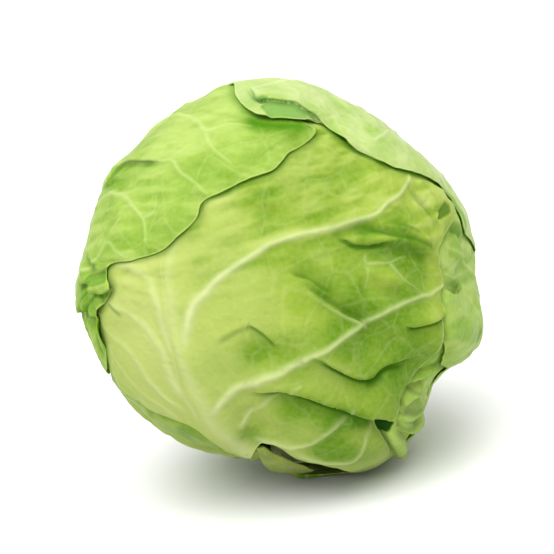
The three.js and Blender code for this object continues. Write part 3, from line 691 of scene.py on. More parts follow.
class Trail:
    """A smooth path over the head."""

    STEPS = 5  # straight runs between two of its places

    def __init__(self, places: tuple[Place, ...], radius: float) -> None:
        """Rounds the path.

        Args:
            places: Places that it passes.
            radius: Radius of the head, which turns angles into millimetres.
        """
        self.radius = radius
        known = np.array([direction(p) for p in places])
        ends = np.vstack((2 * known[0] - known[1], known, 2 * known[-1] - known[-2]))
        runs = []
        for k in range(len(known) - 1):
            p0, p1, p2, p3 = ends[k: k + 4]
            t = np.linspace(0, 1, self.STEPS + 1)[:-1, None]
            runs.append(0.5 * (2 * p1 + (p2 - p0) * t + (2 * p0 - 5 * p1 + 4 * p2 - p3) * t ** 2
                               + (3 * p1 - p0 - 3 * p2 + p3) * t ** 3))
        self.points = unit(np.vstack((*runs, known[-1:])))

    def near(self, d: Array, within: float) -> Nearness:
        """Measures points against the path.

        Args:
            d: Unit vectors, one a row.
            within: How far from the path it measures, in millimetres. Beyond it, points count as this far.

        Returns:
            How each point lies to the path.
        """
        found = Nearness(np.full(len(d), within), np.zeros(len(d)), np.full(len(d), within),
                         np.zeros((len(d), 3)))
        starts, ends = self.points[:-1], self.points[1:]
        lengths = np.linalg.norm(ends - starts, axis=1)
        closeness = d @ unit(starts + ends).T
        for k, (start, end, length) in enumerate(zip(starts, ends, lengths)):
            limit = math.cos(min(math.pi, within / self.radius + length / 2))
            spots = np.nonzero(closeness[:, k] > limit)[0]
            if not len(spots):
                continue
            run = (end - start) / length
            off = d[spots] - start
            t = np.clip(off @ run / length, 0, 1)
            off = off - (t * length)[:, None] * run
            distance = np.linalg.norm(off, axis=1) * self.radius
            better = distance < found.distance[spots]
            spots = spots[better]
            left = unit(np.cross(d[spots], run))
            found.distance[spots] = distance[better]
            found.share[spots] = (k + t[better]) / len(lengths)
            found.left[spots] = left
            found.lateral[spots] = np.einsum("ij,ij->i", off[better], left) * self.radius
        return found


def fold_length(near: Nearness) -> Array:
    """How much of a fold there is, from 0 past its ends to 1 over most of its length."""
    ahead = np.sqrt(np.maximum(near.distance ** 2 - near.lateral ** 2, 0))
    ends = smooth(near.share / FOLD_FADE) * smooth((1 - near.share) / FOLD_FADE)
    return ends * smooth(2 - ahead / FOLD_PAST)


def creased(near: Nearness, width: float) -> Array:
    """A soft line of a width along a path, which dies out at the path's ends."""
    return bell(near.distance / width) * fold_length(near)


class Head:
    """The shape that all the leaves are wrapped round, and how it rests."""

    BROAD_SHIFT = 5.3  # where the broad and the narrow unevenness are read in the random field
    NARROW_SHIFT = 8.1
    NARROW_SCALE = 2.3
    NARROW_SHARE = 0.6

    def __init__(self, size: HeadSize) -> None:
        """Works out how the head leans.

        Args:
            size: The head's measures.
        """
        self.size = size
        lean = (Matrix.Rotation(math.radians(-size.lean_back), 3, "X")
                @ Matrix.Rotation(math.radians(size.lean_side), 3, "Y"))
        self.lean = np.array(lean)
        self.down = self.lean.T @ np.array((0.0, 0.0, -1.0))
        self.middle = np.array((*size.shift, size.height))
        self.stem = direction(size.stem_axis)
        angles, values = np.array(size.profile).T
        self.profile = RoundCurve(angles, values)
        self.noise = Noise(3)

    def off_stem(self, d: Array) -> Array:
        """How far directions are from the stem's, in degrees."""
        return np.degrees(np.arccos(np.clip(d @ self.stem, -1, 1)))

    def bare_radius(self, d: Array) -> Array:
        """Radius of the head without its wrapper leaves, before it is set down.

        Args:
            d: Unit vectors, one a row.

        Returns:
            Radii in millimetres.
        """
        size = self.size
        behind = smooth((d[:, 1] - size.back_start) / size.back_span)
        edge_on = (d[:, 0] ** 2 + d[:, 2] ** 2) * (1 - size.back_rounding * behind)
        off = self.profile.at(np.degrees(np.arctan2(d[:, 2], d[:, 0]))) - 1
        dimple = size.dimple_depth * bell(self.off_stem(d) / size.dimple_reach)
        spots = d * size.radius / size.unevenness_size
        narrow = self.NARROW_SHARE * self.noise.at(self.NARROW_SCALE * spots + self.NARROW_SHIFT)
        uneven = size.unevenness * (self.noise.at(spots + self.BROAD_SHIFT) + narrow)
        return size.radius * (1 + off * edge_on) - dimple + uneven * (1 - edge_on) - size.slimmer

    def flattened(self, radius: Array, d: Array, above: Array) -> Array:
        """Softly keeps a radius short of the surface that the head rests on.

        Args:
            radius: Radii in millimetres.
            d: Unit vectors, one a row.
            above: Thickness of the leaves that lie outside, in millimetres.

        Returns:
            The new radii.
        """
        size = self.size
        facing = d @ self.down
        floor = (size.height + size.floor_bulge) / np.maximum(facing, size.floor_facing) - above
        soft = floor - size.floor_softness * np.logaddexp(0, (floor - radius) / size.floor_softness)
        return np.where(facing < size.floor_facing, radius, soft)

    def placed(self, d: Array, radius: Array) -> Array:
        """Points on the resting head.

        Args:
            d: Unit vectors in the head's own frame, one a row.
            radius: Radii in millimetres.

        Returns:
            Points in the part's frame, in millimetres, none below the resting surface.
        """
        size = self.size
        points = (d * radius[:, None]) @ self.lean.T
        points[:, 2] = np.maximum(points[:, 2], -size.height)
        return points + self.middle


class Chart:
    """A leaf's own polar map, centred on its middle, with its cut edge."""

    STEPS = 1440  # bearings at which the edge is kept
    BROAD_WAVES = 11
    NARROW_WAVES = 23
    NARROW_SHARE = 0.6
    MAX_SLOPE = 2  # steepest turn of an edge that the distance to it allows for
    STEM_SEARCH = 0.1  # reach at which the search for the stem begins, and below the steps it takes
    STEM_STEP = 0.01
    FRINGE = ((37, 0.22, 0.4), (59, 0.2, 2.1), (83, 0.16, 4.0), (131, 0.12, 1.2), (197, 0.08, 5.1))

    def __init__(self, leaf: LeafSize, head: Head) -> None:
        """Cuts the leaf's edge.

        Args:
            leaf: The leaf's measures.
            head: What it lies on.
        """
        size = head.size
        self.radius = size.radius
        self.centre = direction(leaf.centre)
        self.east = unit(np.cross((0.0, 0.0, 1.0), self.centre))
        self.north = np.cross(self.centre, self.east)
        reach, bearing = self.polar(np.array([direction(p) for p in leaf.outline]))
        bearings = np.arange(self.STEPS) * 360.0 / self.STEPS
        narrow = np.sin(np.radians(bearings * self.NARROW_WAVES) + leaf.centre[0])
        ripple = np.sin(np.radians(bearings * self.BROAD_WAVES)) + self.NARROW_SHARE * narrow
        edge = RoundCurve(np.mod(bearing, 360.0), reach).at(bearings)
        edge = edge + leaf.wave * ripple / (size.radius * (1 + self.NARROW_SHARE))
        clear = math.asin((size.stem_radius + size.stem_clearance) / size.stem_cut)
        steps = np.arange(self.STEM_SEARCH, edge.max() + 2 * self.STEM_STEP, self.STEM_STEP)
        for k, bearing_at in enumerate(bearings):
            d = self.point(steps, np.full(len(steps), bearing_at))
            hits = steps[(head.off_stem(d) < math.degrees(clear)) & (steps < edge[k])]
            if len(hits):
                edge[k] = hits[0]
        self.edge_table = edge
        fringe = sum(a * np.sin(np.radians(bearings * n) + p) for n, a, p in self.FRINGE)
        self.fringe_table = edge + leaf.ruffle * fringe / size.radius
        _, toward = self.polar(direction(leaf.focus)[None])
        self.pull = leaf.focus_pull * np.exp(1j * np.radians(toward[0]))

    def polar(self, d: Array) -> tuple[Array, Array]:
        """Reach in radians and bearing in degrees of unit vectors from the leaf's middle."""
        return (np.arccos(np.clip(d @ self.centre, -1, 1)),
                np.degrees(np.arctan2(d @ self.north, d @ self.east)))

    def point(self, reach: Array, bearing: Array) -> Array:
        """The unit vectors at a reach in radians and a bearing in degrees."""
        b = np.radians(bearing)
        flat = np.sin(reach)[:, None] * (np.cos(b)[:, None] * self.east + np.sin(b)[:, None] * self.north)
        return np.cos(reach)[:, None] * self.centre + flat

    def read(self, table: Array, bearing: Array) -> Array:
        """A table's value between its bearings."""
        at = np.mod(bearing, 360.0) * self.STEPS / 360.0
        low = np.floor(at).astype(int)
        return table[low % self.STEPS] * (1 - at + low) + table[(low + 1) % self.STEPS] * (at - low)

    def inset(self, d: Array) -> Array:
        """How far in from the leaf's edge directions are.

        Args:
            d: Unit vectors, one a row.

        Returns:
            Millimetres, less than nothing outside the leaf.
        """
        reach, bearing = self.polar(d)
        edge = self.read(self.edge_table, bearing)
        rise = self.read(self.edge_table, bearing + 1) - self.read(self.edge_table, bearing - 1)
        slope = rise / (2 * math.radians(1) * np.sin(edge))
        return (edge - reach) * self.radius / np.hypot(1, np.minimum(self.MAX_SLOPE, np.abs(slope)))

    def grid(self, cells: int) -> Array:
        """A square grid bent to a disc, and the disc bent to the leaf's outline.

        Args:
            cells: Cells along each side of the square.

        Returns:
            Unit vectors, row after row.
        """
        line = np.linspace(-1, 1, cells + 1)
        p, q = (axis.ravel() for axis in np.meshgrid(line, line))
        spot = p * np.sqrt(1 - q * q / 2) + 1j * q * np.sqrt(1 - p * p / 2)
        spot = (spot + self.pull) / (1 + np.conj(self.pull) * spot)
        bearing = np.degrees(np.angle(spot))
        return self.point(np.abs(spot) * self.read(self.fringe_table, bearing), bearing)


@dataclass
class Lie:
    """How a leaf lies over directions: radius of its inner face, distance in from its edge, and how free it
    is of the leaves over it and of the surface below, from 0 to 1, and how near the edge of a leaf over it
    is, from 0 to 1, which sets the painted shadow along that edge."""

    under: Array
    inset: Array
    open: Array
    clear: Array
    edge_shadowed: Array


class Wrapping:
    """The stack of leaves round the heart, from the innermost out."""

    NEAR = 2.5  # how many times its own width a valley is measured out to

    def __init__(self, head: Head, leaves: tuple[LeafSize, ...]) -> None:
        """Cuts every leaf.

        Args:
            head: What they are wrapped round.
            leaves: Their measures, innermost first.
        """
        self.head, self.leaves = head, leaves
        self.charts = [Chart(leaf, head) for leaf in leaves]
        self.sunk = [(fold, Trail(fold.path, head.size.radius)) for leaf in leaves for fold in leaf.folds
                     if fold.foot]
        self.sunk_ridges = [(ridge, Trail(ridge.path, head.size.radius)) for leaf in leaves
                            for ridge in leaf.ridges if ridge.height < 0]

    def valleys(self, d: Array) -> Array:
        """How deep the head is sunk at the feet of its folds and along its valleys.

        Args:
            d: Unit vectors, one a row.

        Returns:
            Depths in millimetres.
        """
        depth = np.zeros(len(d))
        for fold, trail in self.sunk:
            near = trail.near(d, self.NEAR * fold.foot_reach)
            low = 1 - smooth(0.5 + near.lateral / (2 * fold.width))
            part = low * bell(near.lateral / fold.foot_reach) * fold_length(near)
            depth = np.maximum(depth, fold.foot * part)
        for ridge, trail in self.sunk_ridges:
            near = trail.near(d, self.NEAR * ridge.width)
            depth = np.maximum(depth, -ridge.height * creased(near, ridge.width))
        return depth

    def lie(self, index: int, d: Array) -> Lie:
        """How one leaf lies.

        Args:
            index: Which leaf, counted from the innermost.
            d: Unit vectors, one a row.

        Returns:
            Its lie over them.
        """
        size = self.head.size
        insets = [chart.inset(d) for chart in self.charts]
        step = size.fine_air + size.fine_blade
        spare = size.air + size.blade - step
        filling = sum(smooth(1 + (i + size.overhang) / size.drape) for i in insets) * spare
        layers = [smooth(1 + (i + size.fine_overhang) / size.fine_drape) * step for i in insets]
        low = self.head.bare_radius(d) + filling - self.valleys(d)
        bare = self.head.flattened(low, d, sum(layers))
        free, edge_shadowed = np.ones(len(d)), np.zeros(len(d))
        for over in insets[index + 1:]:
            free = free * (1 - smooth(1 + (over + size.press_gap) / size.press_width))
            edge_shadowed = np.maximum(edge_shadowed, bell(over / size.edge_shadow_width))
        clear = smooth((size.clear_start - d @ self.head.down) / size.clear_span)
        inset = insets[index]
        dip = (size.fine_air - size.edge_gap) * smooth(1 - inset / size.tuck) * free * clear
        under = bare + sum(layers[:index], np.zeros(len(d))) + size.fine_air - dip
        return Lie(under, inset, free, clear, edge_shadowed)


@dataclass
class Relief:
    """How a blade departs from its plain lie: both faces bent, the outer face raised, sideways slides,
    and what its finish reads."""

    bend: Array
    raised: Array
    slide: Array
    vein: Array
    pale: Array
    shade: Array
    tint: Array


class Leaf:
    """One wrapper leaf, from its plain lie to its finished mesh."""

    TAPER = 0.6  # how much thinner a rib is at its far end
    CREST_WIDTH = 0.36  # a rib's crest and its pale ink, as shares of its width
    INK_WIDTH = 0.46
    INK_FADE = 0.5
    BAND_WIDTH = 2.2  # the pale band along the midrib, as a share of its width
    BAND_FADE = 0.7
    PALE_REACH = 42.0  # the paler part of the leaf round its midrib
    PALE_SHARE = 0.55
    STEM_PALE = 38.0  # how far from the stem the leaf is pale, in degrees
    # how dark the painted shadow along the edge of a leaf over this one is
    EDGE_SHADOW = 0.55
    LINE = 1.1  # width of the painted shadow line under a fold
    UNDER = 5.0  # and of the softer painted shade below it
    UNDER_SHADE = 0.45
    ROLL_OVER = 0.5  # how much of a fold's width, and of its height, hides its foot
    DROP_OVER = 0.35
    FLAP_FACING = 0.8  # how much a direction faces a flap's middle where the flap is measured
    FLAP_SOFTNESS = 1.2
    FAR = 99.0
    CRINKLE_SIZE = (17.0, 3.4, 9.0)  # along the fine wrinkles, across them, and through the blade
    CRINKLE_SHADING = 0.35  # painted light on the crests of the fine wrinkles, and painted shade in their hollows
    CRINKLE_SCALE = 2.1  # finer wrinkles on the fine ones
    CRINKLE_SHIFT = 7.0
    CRINKLE_SHARE = 0.5
    SOFT_SIZE = 11.0
    SOFT_HEIGHT = 0.6
    MARGIN = 10.0  # how far in from the edge the margin is ruffled
    RUFFLE_SIZE = 7.0
    RUFFLE_SHIFT = 9.0
    RUFFLE_BASE = 0.5  # how far the margin stands up everywhere, and how much its waves change that
    RUFFLE_WAVE = 0.9
    LIFT_SHARE = 0.5
    WOBBLE = 1.1
    WOBBLE_SIZE = 9.0
    WOBBLE_SHIFTS = (2.0, 9.0, 17.0)
    QUILT_REACH = 8.0
    QUILT_LIMIT = 18.0
    FOLD_NEAR = 3.5  # how many times its own reach or width a piece of relief is measured out to
    CREASE_NEAR = 3.0
    PLEAT_NEAR = 1.2
    PLEAT_ROUND = 0.6  # how round a pleat's top is
    LEAST_AIR = 0.1
    EDGE_REACH = 8.0  # how far in from the edge the blade gets its full thickness
    MARGIN_LIMIT = 30.0  # how far in from the edge the finish can tell

    def __init__(self, index: int, wrapping: Wrapping) -> None:
        """Prepares the leaf's trails and its random fields.

        Args:
            index: Which leaf of the wrapping.
            wrapping: The whole stack.
        """
        self.index, self.wrapping = index, wrapping
        self.size, self.chart = wrapping.leaves[index], wrapping.charts[index]
        self.head = wrapping.head
        self.radius = self.head.size.radius
        self.noise = Noise(11 + index)
        self.fine = Noise(31 + index)

    def trail(self, path: tuple[Place, ...]) -> Trail:
        """The smooth trail through some places."""
        return Trail(path, self.radius)

    def add_ribs(self, d: Array, relief: Relief) -> Array:
        """Raises the ribs and inks the veins.

        Args:
            d: Unit vectors, one a row.
            relief: What they are added to.

        Returns:
            How far each direction is from the nearest rib, in millimetres.
        """
        gap = np.full(len(d), self.QUILT_LIMIT)
        spots = d * self.radius / self.WOBBLE_SIZE
        wobble = np.stack([self.fine.at(spots + shift) for shift in self.WOBBLE_SHIFTS], axis=1)
        bent = unit(d + wobble * self.WOBBLE / self.radius)
        for number, rib in enumerate(self.size.ribs):
            within = self.QUILT_LIMIT if number else 2 * self.PALE_REACH
            near = self.trail(rib.path).near(bent, max(within, 3 * rib.width))
            taper = 1 - self.TAPER * near.share
            width = rib.width * taper
            root = smooth(near.share / self.size.root) if number else 1.0
            foot = (1 - rib.crest) * bell(near.distance / width)
            crest = rib.crest * bell(near.distance / (self.CREST_WIDTH * width))
            relief.raised = np.maximum(relief.raised, rib.height * taper * root * (foot + crest))
            ink = rib.ink * (1 - self.INK_FADE * near.share) * bell(near.distance / (self.INK_WIDTH * width))
            relief.vein = np.maximum(relief.vein, ink * root)
            gap = np.minimum(gap, near.distance)
            if number == 0:
                band = bell(near.distance / (self.BAND_WIDTH * width)) * (1 - self.BAND_FADE * near.share)
                broad = self.PALE_SHARE * bell(near.distance / self.PALE_REACH)
                relief.pale = np.maximum(relief.pale, np.maximum(band, broad))
        return gap

    def add_folds(self, d: Array, relief: Relief) -> None:
        """Steps the blade up at its folds, rolls it over their feet, and paints shadow at their feet.

        Args:
            d: Unit vectors, one a row.
            relief: What they are added to.
        """
        for fold in self.size.folds:
            near = self.trail(fold.path).near(d, self.FOLD_NEAR * fold.reach)
            along = fold_length(near)
            u = np.clip(0.5 + near.lateral / (2 * fold.width), 0, 1)
            fall = np.exp(-np.maximum(near.lateral, 0) / fold.reach)
            relief.bend += fold.height * along * smooth(u) * fall
            slide = fold.roll * fold.width * along * np.sin(2 * np.pi * u)
            relief.slide += slide[:, None] * near.left
            # painted shadow: a deeper green line at a fold's foot, past what its roll hides, and softer
            # painted shade below it
            hidden = self.ROLL_OVER * fold.width + self.DROP_OVER * (fold.height + fold.foot)
            below = np.maximum(-near.lateral - hidden, 0)
            fold_shadow = np.maximum(bell(below / self.LINE), self.UNDER_SHADE * bell(below / self.UNDER))
            relief.shade = np.maximum(relief.shade, fold.shade * fold_shadow * smooth(1 - u) * along)

    def add_creases(self, d: Array, relief: Relief) -> None:
        """Nips the blade in along its creases, and paints shade along them.

        Args:
            d: Unit vectors, one a row.
            relief: What they are added to.
        """
        for crease in self.size.creases:
            near = self.trail(crease.path).near(d, self.CREASE_NEAR * crease.width)
            part = creased(near, crease.width)
            relief.bend -= crease.depth * part
            # painted shade along the crease
            relief.shade = np.maximum(relief.shade, crease.shade * part)

    def add_pleats(self, d: Array, relief: Relief) -> None:
        """Pushes up the soft and the tube-like ridges.

        Args:
            d: Unit vectors, one a row.
            relief: What they are added to.
        """
        for soft in self.size.ridges:
            if soft.height > 0:
                near = self.trail(soft.path).near(d, self.wrapping.NEAR * soft.width)
                relief.bend += soft.height * creased(near, soft.width)
        ridge = np.zeros(len(d))
        for pleat in self.size.pleats:
            near = self.trail(pleat.path).near(d, self.PLEAT_NEAR * pleat.width)
            tube = np.maximum(0, 1 - (near.distance / pleat.width) ** 2) ** self.PLEAT_ROUND
            ridge = np.maximum(ridge, pleat.height * fold_length(near) * tube)
        relief.bend += ridge

    def add_swells(self, d: Array, relief: Relief) -> None:
        """Bulges and hollows the blade, and paints its paler and deeper patches, partly its own greens and
        partly painted light and shade.

        Args:
            d: Unit vectors, one a row.
            relief: What they are added to.
        """
        for swells, target in ((self.size.swells, relief.bend), (self.size.tints_and_shading, relief.tint)):
            for swell in swells:
                away = np.arccos(np.clip(d @ direction(swell.at), -1, 1)) * self.radius / swell.reach
                target += swell.height * bell(away)

    def add_flaps(self, d: Array, relief: Relief) -> None:
        """Sinks the turned parts and paints them darker: the darker face, and painted shade in pockets and
        holes.

        Args:
            d: Unit vectors, one a row.
            relief: What they are added to.
        """
        for flap in self.size.flaps:
            corners = np.array([direction(p) for p in flap.outline])
            middle = unit(corners.mean(axis=0))
            right = unit(np.cross((0.0, 0.0, 1.0), middle))
            up = np.cross(middle, right)
            ahead = d @ middle > self.FLAP_FACING
            flat, edge = (np.stack((x @ right, x @ up), axis=1) * self.radius for x in (d[ahead], corners))
            inside = np.zeros(len(flat), bool)
            distance = np.full(len(flat), self.FAR)
            for a, b in zip(edge, np.roll(edge, -1, axis=0)):
                run = b - a
                t = np.clip((flat - a) @ run / (run @ run), 0, 1)
                distance = np.minimum(distance, np.linalg.norm(flat - a - t[:, None] * run, axis=1))
                crosses = (a[1] > flat[:, 1]) != (b[1] > flat[:, 1])
                rise = np.where(run[1] == 0, 1e-9, run[1])
                inside ^= crosses & (flat[:, 0] < a[0] + (flat[:, 1] - a[1]) * run[0] / rise)
            share = smooth(0.5 + np.where(inside, distance, -distance) / self.FLAP_SOFTNESS)
            relief.bend[ahead] -= flap.depth * share
            relief.shade[ahead] = np.maximum(relief.shade[ahead], flap.shade * share)

    def add_unevenness(self, d: Array, lie: Lie, gap: Array, relief: Relief) -> None:
        """Puffs the blade between its veins, wrinkles it, paints light and shade on its wrinkles and waves
        its margin.

        Args:
            d: Unit vectors, one a row.
            lie: How the leaf lies.
            gap: How far each direction is from the nearest rib, in millimetres.
            relief: What they are added to.
        """
        size = self.size
        middle = self.chart
        way = unit(size.wrinkle_way[0] * middle.east + size.wrinkle_way[1] * middle.north)
        across = np.cross(middle.centre, way)
        ways = zip((way, across, middle.centre), self.CRINKLE_SIZE)
        spots = np.stack([d @ axis / length for axis, length in ways], axis=1) * self.radius
        finer = self.fine.at(spots * self.CRINKLE_SCALE + self.CRINKLE_SHIFT)
        crinkle = self.fine.at(spots) + self.CRINKLE_SHARE * finer
        start, full = size.wrinkle_from
        leafy = smooth((self.head.off_stem(d) - start) / (full - start))
        relief.bend += size.quilt * (1 - bell(gap / self.QUILT_REACH)) * leafy
        relief.bend += size.wrinkle * crinkle * leafy
        # painted light on the wrinkles' crests and painted shade in their hollows
        relief.tint += self.CRINKLE_SHADING * crinkle * leafy
        soft = self.noise.at(d * self.radius / self.SOFT_SIZE)
        relief.bend += self.SOFT_HEIGHT * soft * leafy
        margin = smooth(1 - lie.inset / self.MARGIN)
        wave = self.noise.at(d * self.radius / self.RUFFLE_SIZE + self.RUFFLE_SHIFT)
        relief.bend += size.ruffle * (self.RUFFLE_BASE + self.RUFFLE_WAVE * wave) * margin * lie.clear
        lift = smooth(1 - lie.inset / self.head.size.lift_reach)
        relief.bend += self.LIFT_SHARE * size.lift * lift * (0.5 + 0.5 * wave) * lie.clear

    def relief(self, d: Array, lie: Lie) -> Relief:
        """All that the blade adds to its plain lie.

        Args:
            d: Unit vectors, one a row.
            lie: How the leaf lies.

        Returns:
            The relief.
        """
        count = len(d)
        relief = Relief(np.zeros(count), np.zeros(count), np.zeros((count, 3)), np.zeros(count),
                        bell(self.head.off_stem(d) / self.STEM_PALE), np.zeros(count), np.zeros(count))
        gap = self.add_ribs(d, relief)
        self.add_folds(d, relief)
        self.add_creases(d, relief)
        self.add_pleats(d, relief)
        self.add_swells(d, relief)
        self.add_flaps(d, relief)
        self.add_unevenness(d, lie, gap, relief)
        # painted shadow along the edge of each leaf that lies over this one
        relief.shade = np.maximum(relief.shade, self.EDGE_SHADOW * lie.edge_shadowed)
        return relief

    def face(self, d: Array, side: Side) -> tuple[Array, dict[str, Array]]:
        """One face of the blade.

        Args:
            d: Unit vectors of its grid.
            side: Which face.

        Returns:
            Points in the part's frame, and what the finish reads at them.
        """
        size = self.head.size
        lie = self.wrapping.lie(self.index, d)
        relief = self.relief(d, lie)
        radius = lie.under + np.maximum(relief.bend, self.LEAST_AIR - size.fine_air) * lie.open
        if side is Side.OUTER:
            full = smooth(lie.inset / self.EDGE_REACH)
            blade = size.fine_edge + (size.fine_blade - size.fine_edge) * full
            radius = radius + np.maximum(size.fine_edge, blade + relief.raised * lie.open)
        slid = unit(d + relief.slide * (lie.open / self.radius)[:, None])
        marks = {"vein": relief.vein, "pale": relief.pale, "shade": relief.shade, "tint": relief.tint,
                 "margin": np.clip(lie.inset, 0, self.MARGIN_LIMIT)}
        return self.head.placed(slid, radius), marks

    def build(self, cells: int) -> bpy.types.Object:
        """Makes the leaf's mesh: a fine outer face, an inner face with cells twice as wide, and a rim.

        Args:
            cells: Cells along each side of the outer face's grid, an even number.

        Returns:
            The leaf's object.
        """
        half = cells // 2
        outer, outer_marks = self.face(self.chart.grid(cells), Side.OUTER)
        inner, inner_marks = self.face(self.chart.grid(half), Side.INNER)
        first = len(outer)
        faces = [grid_quads(cells, 0, False), grid_quads(half, first, True)]
        fine, coarse = grid_rim(cells), grid_rim(half) + first
        a0, a1, a2 = fine[0::2], fine[1::2], np.roll(fine, -2)[0::2]
        u0, u1 = coarse, np.roll(coarse, -1)
        for triangle in ((a0, u0, a1), (a1, u0, u1), (a1, u1, a2)):
            faces.append(np.stack(triangle, axis=1))
        marks = {key: np.concatenate((outer_marks[key], inner_marks[key])) for key in outer_marks}
        return mesh_object(self.size.name + "_blade", np.vstack((outer, inner)), faces, marks)


def grid_quads(cells: int, first: int, turned: bool) -> Array:
    """The squares of a grid.

    Args:
        cells: Cells along each side.
        first: Number of the grid's first point.
        turned: Whether they face the other way.

    Returns:
        Four point numbers for each square.
    """
    row = cells + 1
    start = (np.arange(cells)[:, None] * row + np.arange(cells)).ravel() + first
    corners = (start, start + 1, start + row + 1, start + row)
    return np.stack(corners[::-1] if turned else corners, axis=1)


def grid_rim(cells: int) -> Array:
    """The point numbers round the outside of a grid, in order."""
    row, along = cells + 1, np.arange(cells)
    return np.concatenate((along, along * row + cells, cells * row + cells - along, (cells - along) * row))


def tube_faces(rings: int, around: int, turned: bool) -> list[Array]:
    """The sides and the two closed ends of a tube, whose two end points come after its rings.

    Args:
        rings: Rings along the tube.
        around: Points of each ring.
        turned: Whether the faces look the other way.

    Returns:
        Arrays of point numbers, one face a row.
    """
    turns = np.arange(around)
    after = np.roll(turns, -1)
    faces = []
    for a in range(0, (rings - 1) * around, around):
        b = a + around
        corners = (a + turns, a + after, b + after, b + turns)
        faces.append(np.stack((corners[0], *corners[:0:-1]) if turned else corners, axis=1))
    one, other = (turns, after) if turned else (after, turns)
    last, end = (rings - 1) * around, rings * around
    faces.append(np.stack((one, other, np.full(around, end)), axis=1))
    faces.append(np.stack((last + other, last + one, np.full(around, end + 1)), axis=1))
    return faces


def mesh_object(name: str, points: Array, faces: list[Array], marks: dict[str, Array]) -> bpy.types.Object:
    """Makes a smooth mesh object.

    Args:
        name: The object's name.
        points: Its points in millimetres, one a row.
        faces: Arrays of point numbers, one face a row.
        marks: Values for each point, by name.

    Returns:
        The object, linked to the scene.
    """
    mesh = bpy.data.meshes.new(name)
    mesh.vertices.add(len(points))
    mesh.vertices.foreach_set("co", (points * METRE).astype(np.float32).ravel())
    sizes = np.concatenate([np.full(len(f), f.shape[1]) for f in faces])
    mesh.loops.add(int(sizes.sum()))
    mesh.loops.foreach_set("vertex_index", np.concatenate([f.ravel() for f in faces]).astype(np.int32))
    mesh.polygons.add(len(sizes))
    mesh.polygons.foreach_set("loop_start", (np.cumsum(sizes) - sizes).astype(np.int32))
    for key, values in marks.items():
        mesh.attributes.new(key, "FLOAT", "POINT").data.foreach_set("value", values.astype(np.float32))
    mesh.update(calc_edges=True)
    mesh.validate()
    mesh.polygons.foreach_set("use_smooth", np.ones(len(mesh.polygons), bool))
    made = bpy.data.objects.new(name, mesh)
    bpy.context.scene.collection.objects.link(made)
    return made


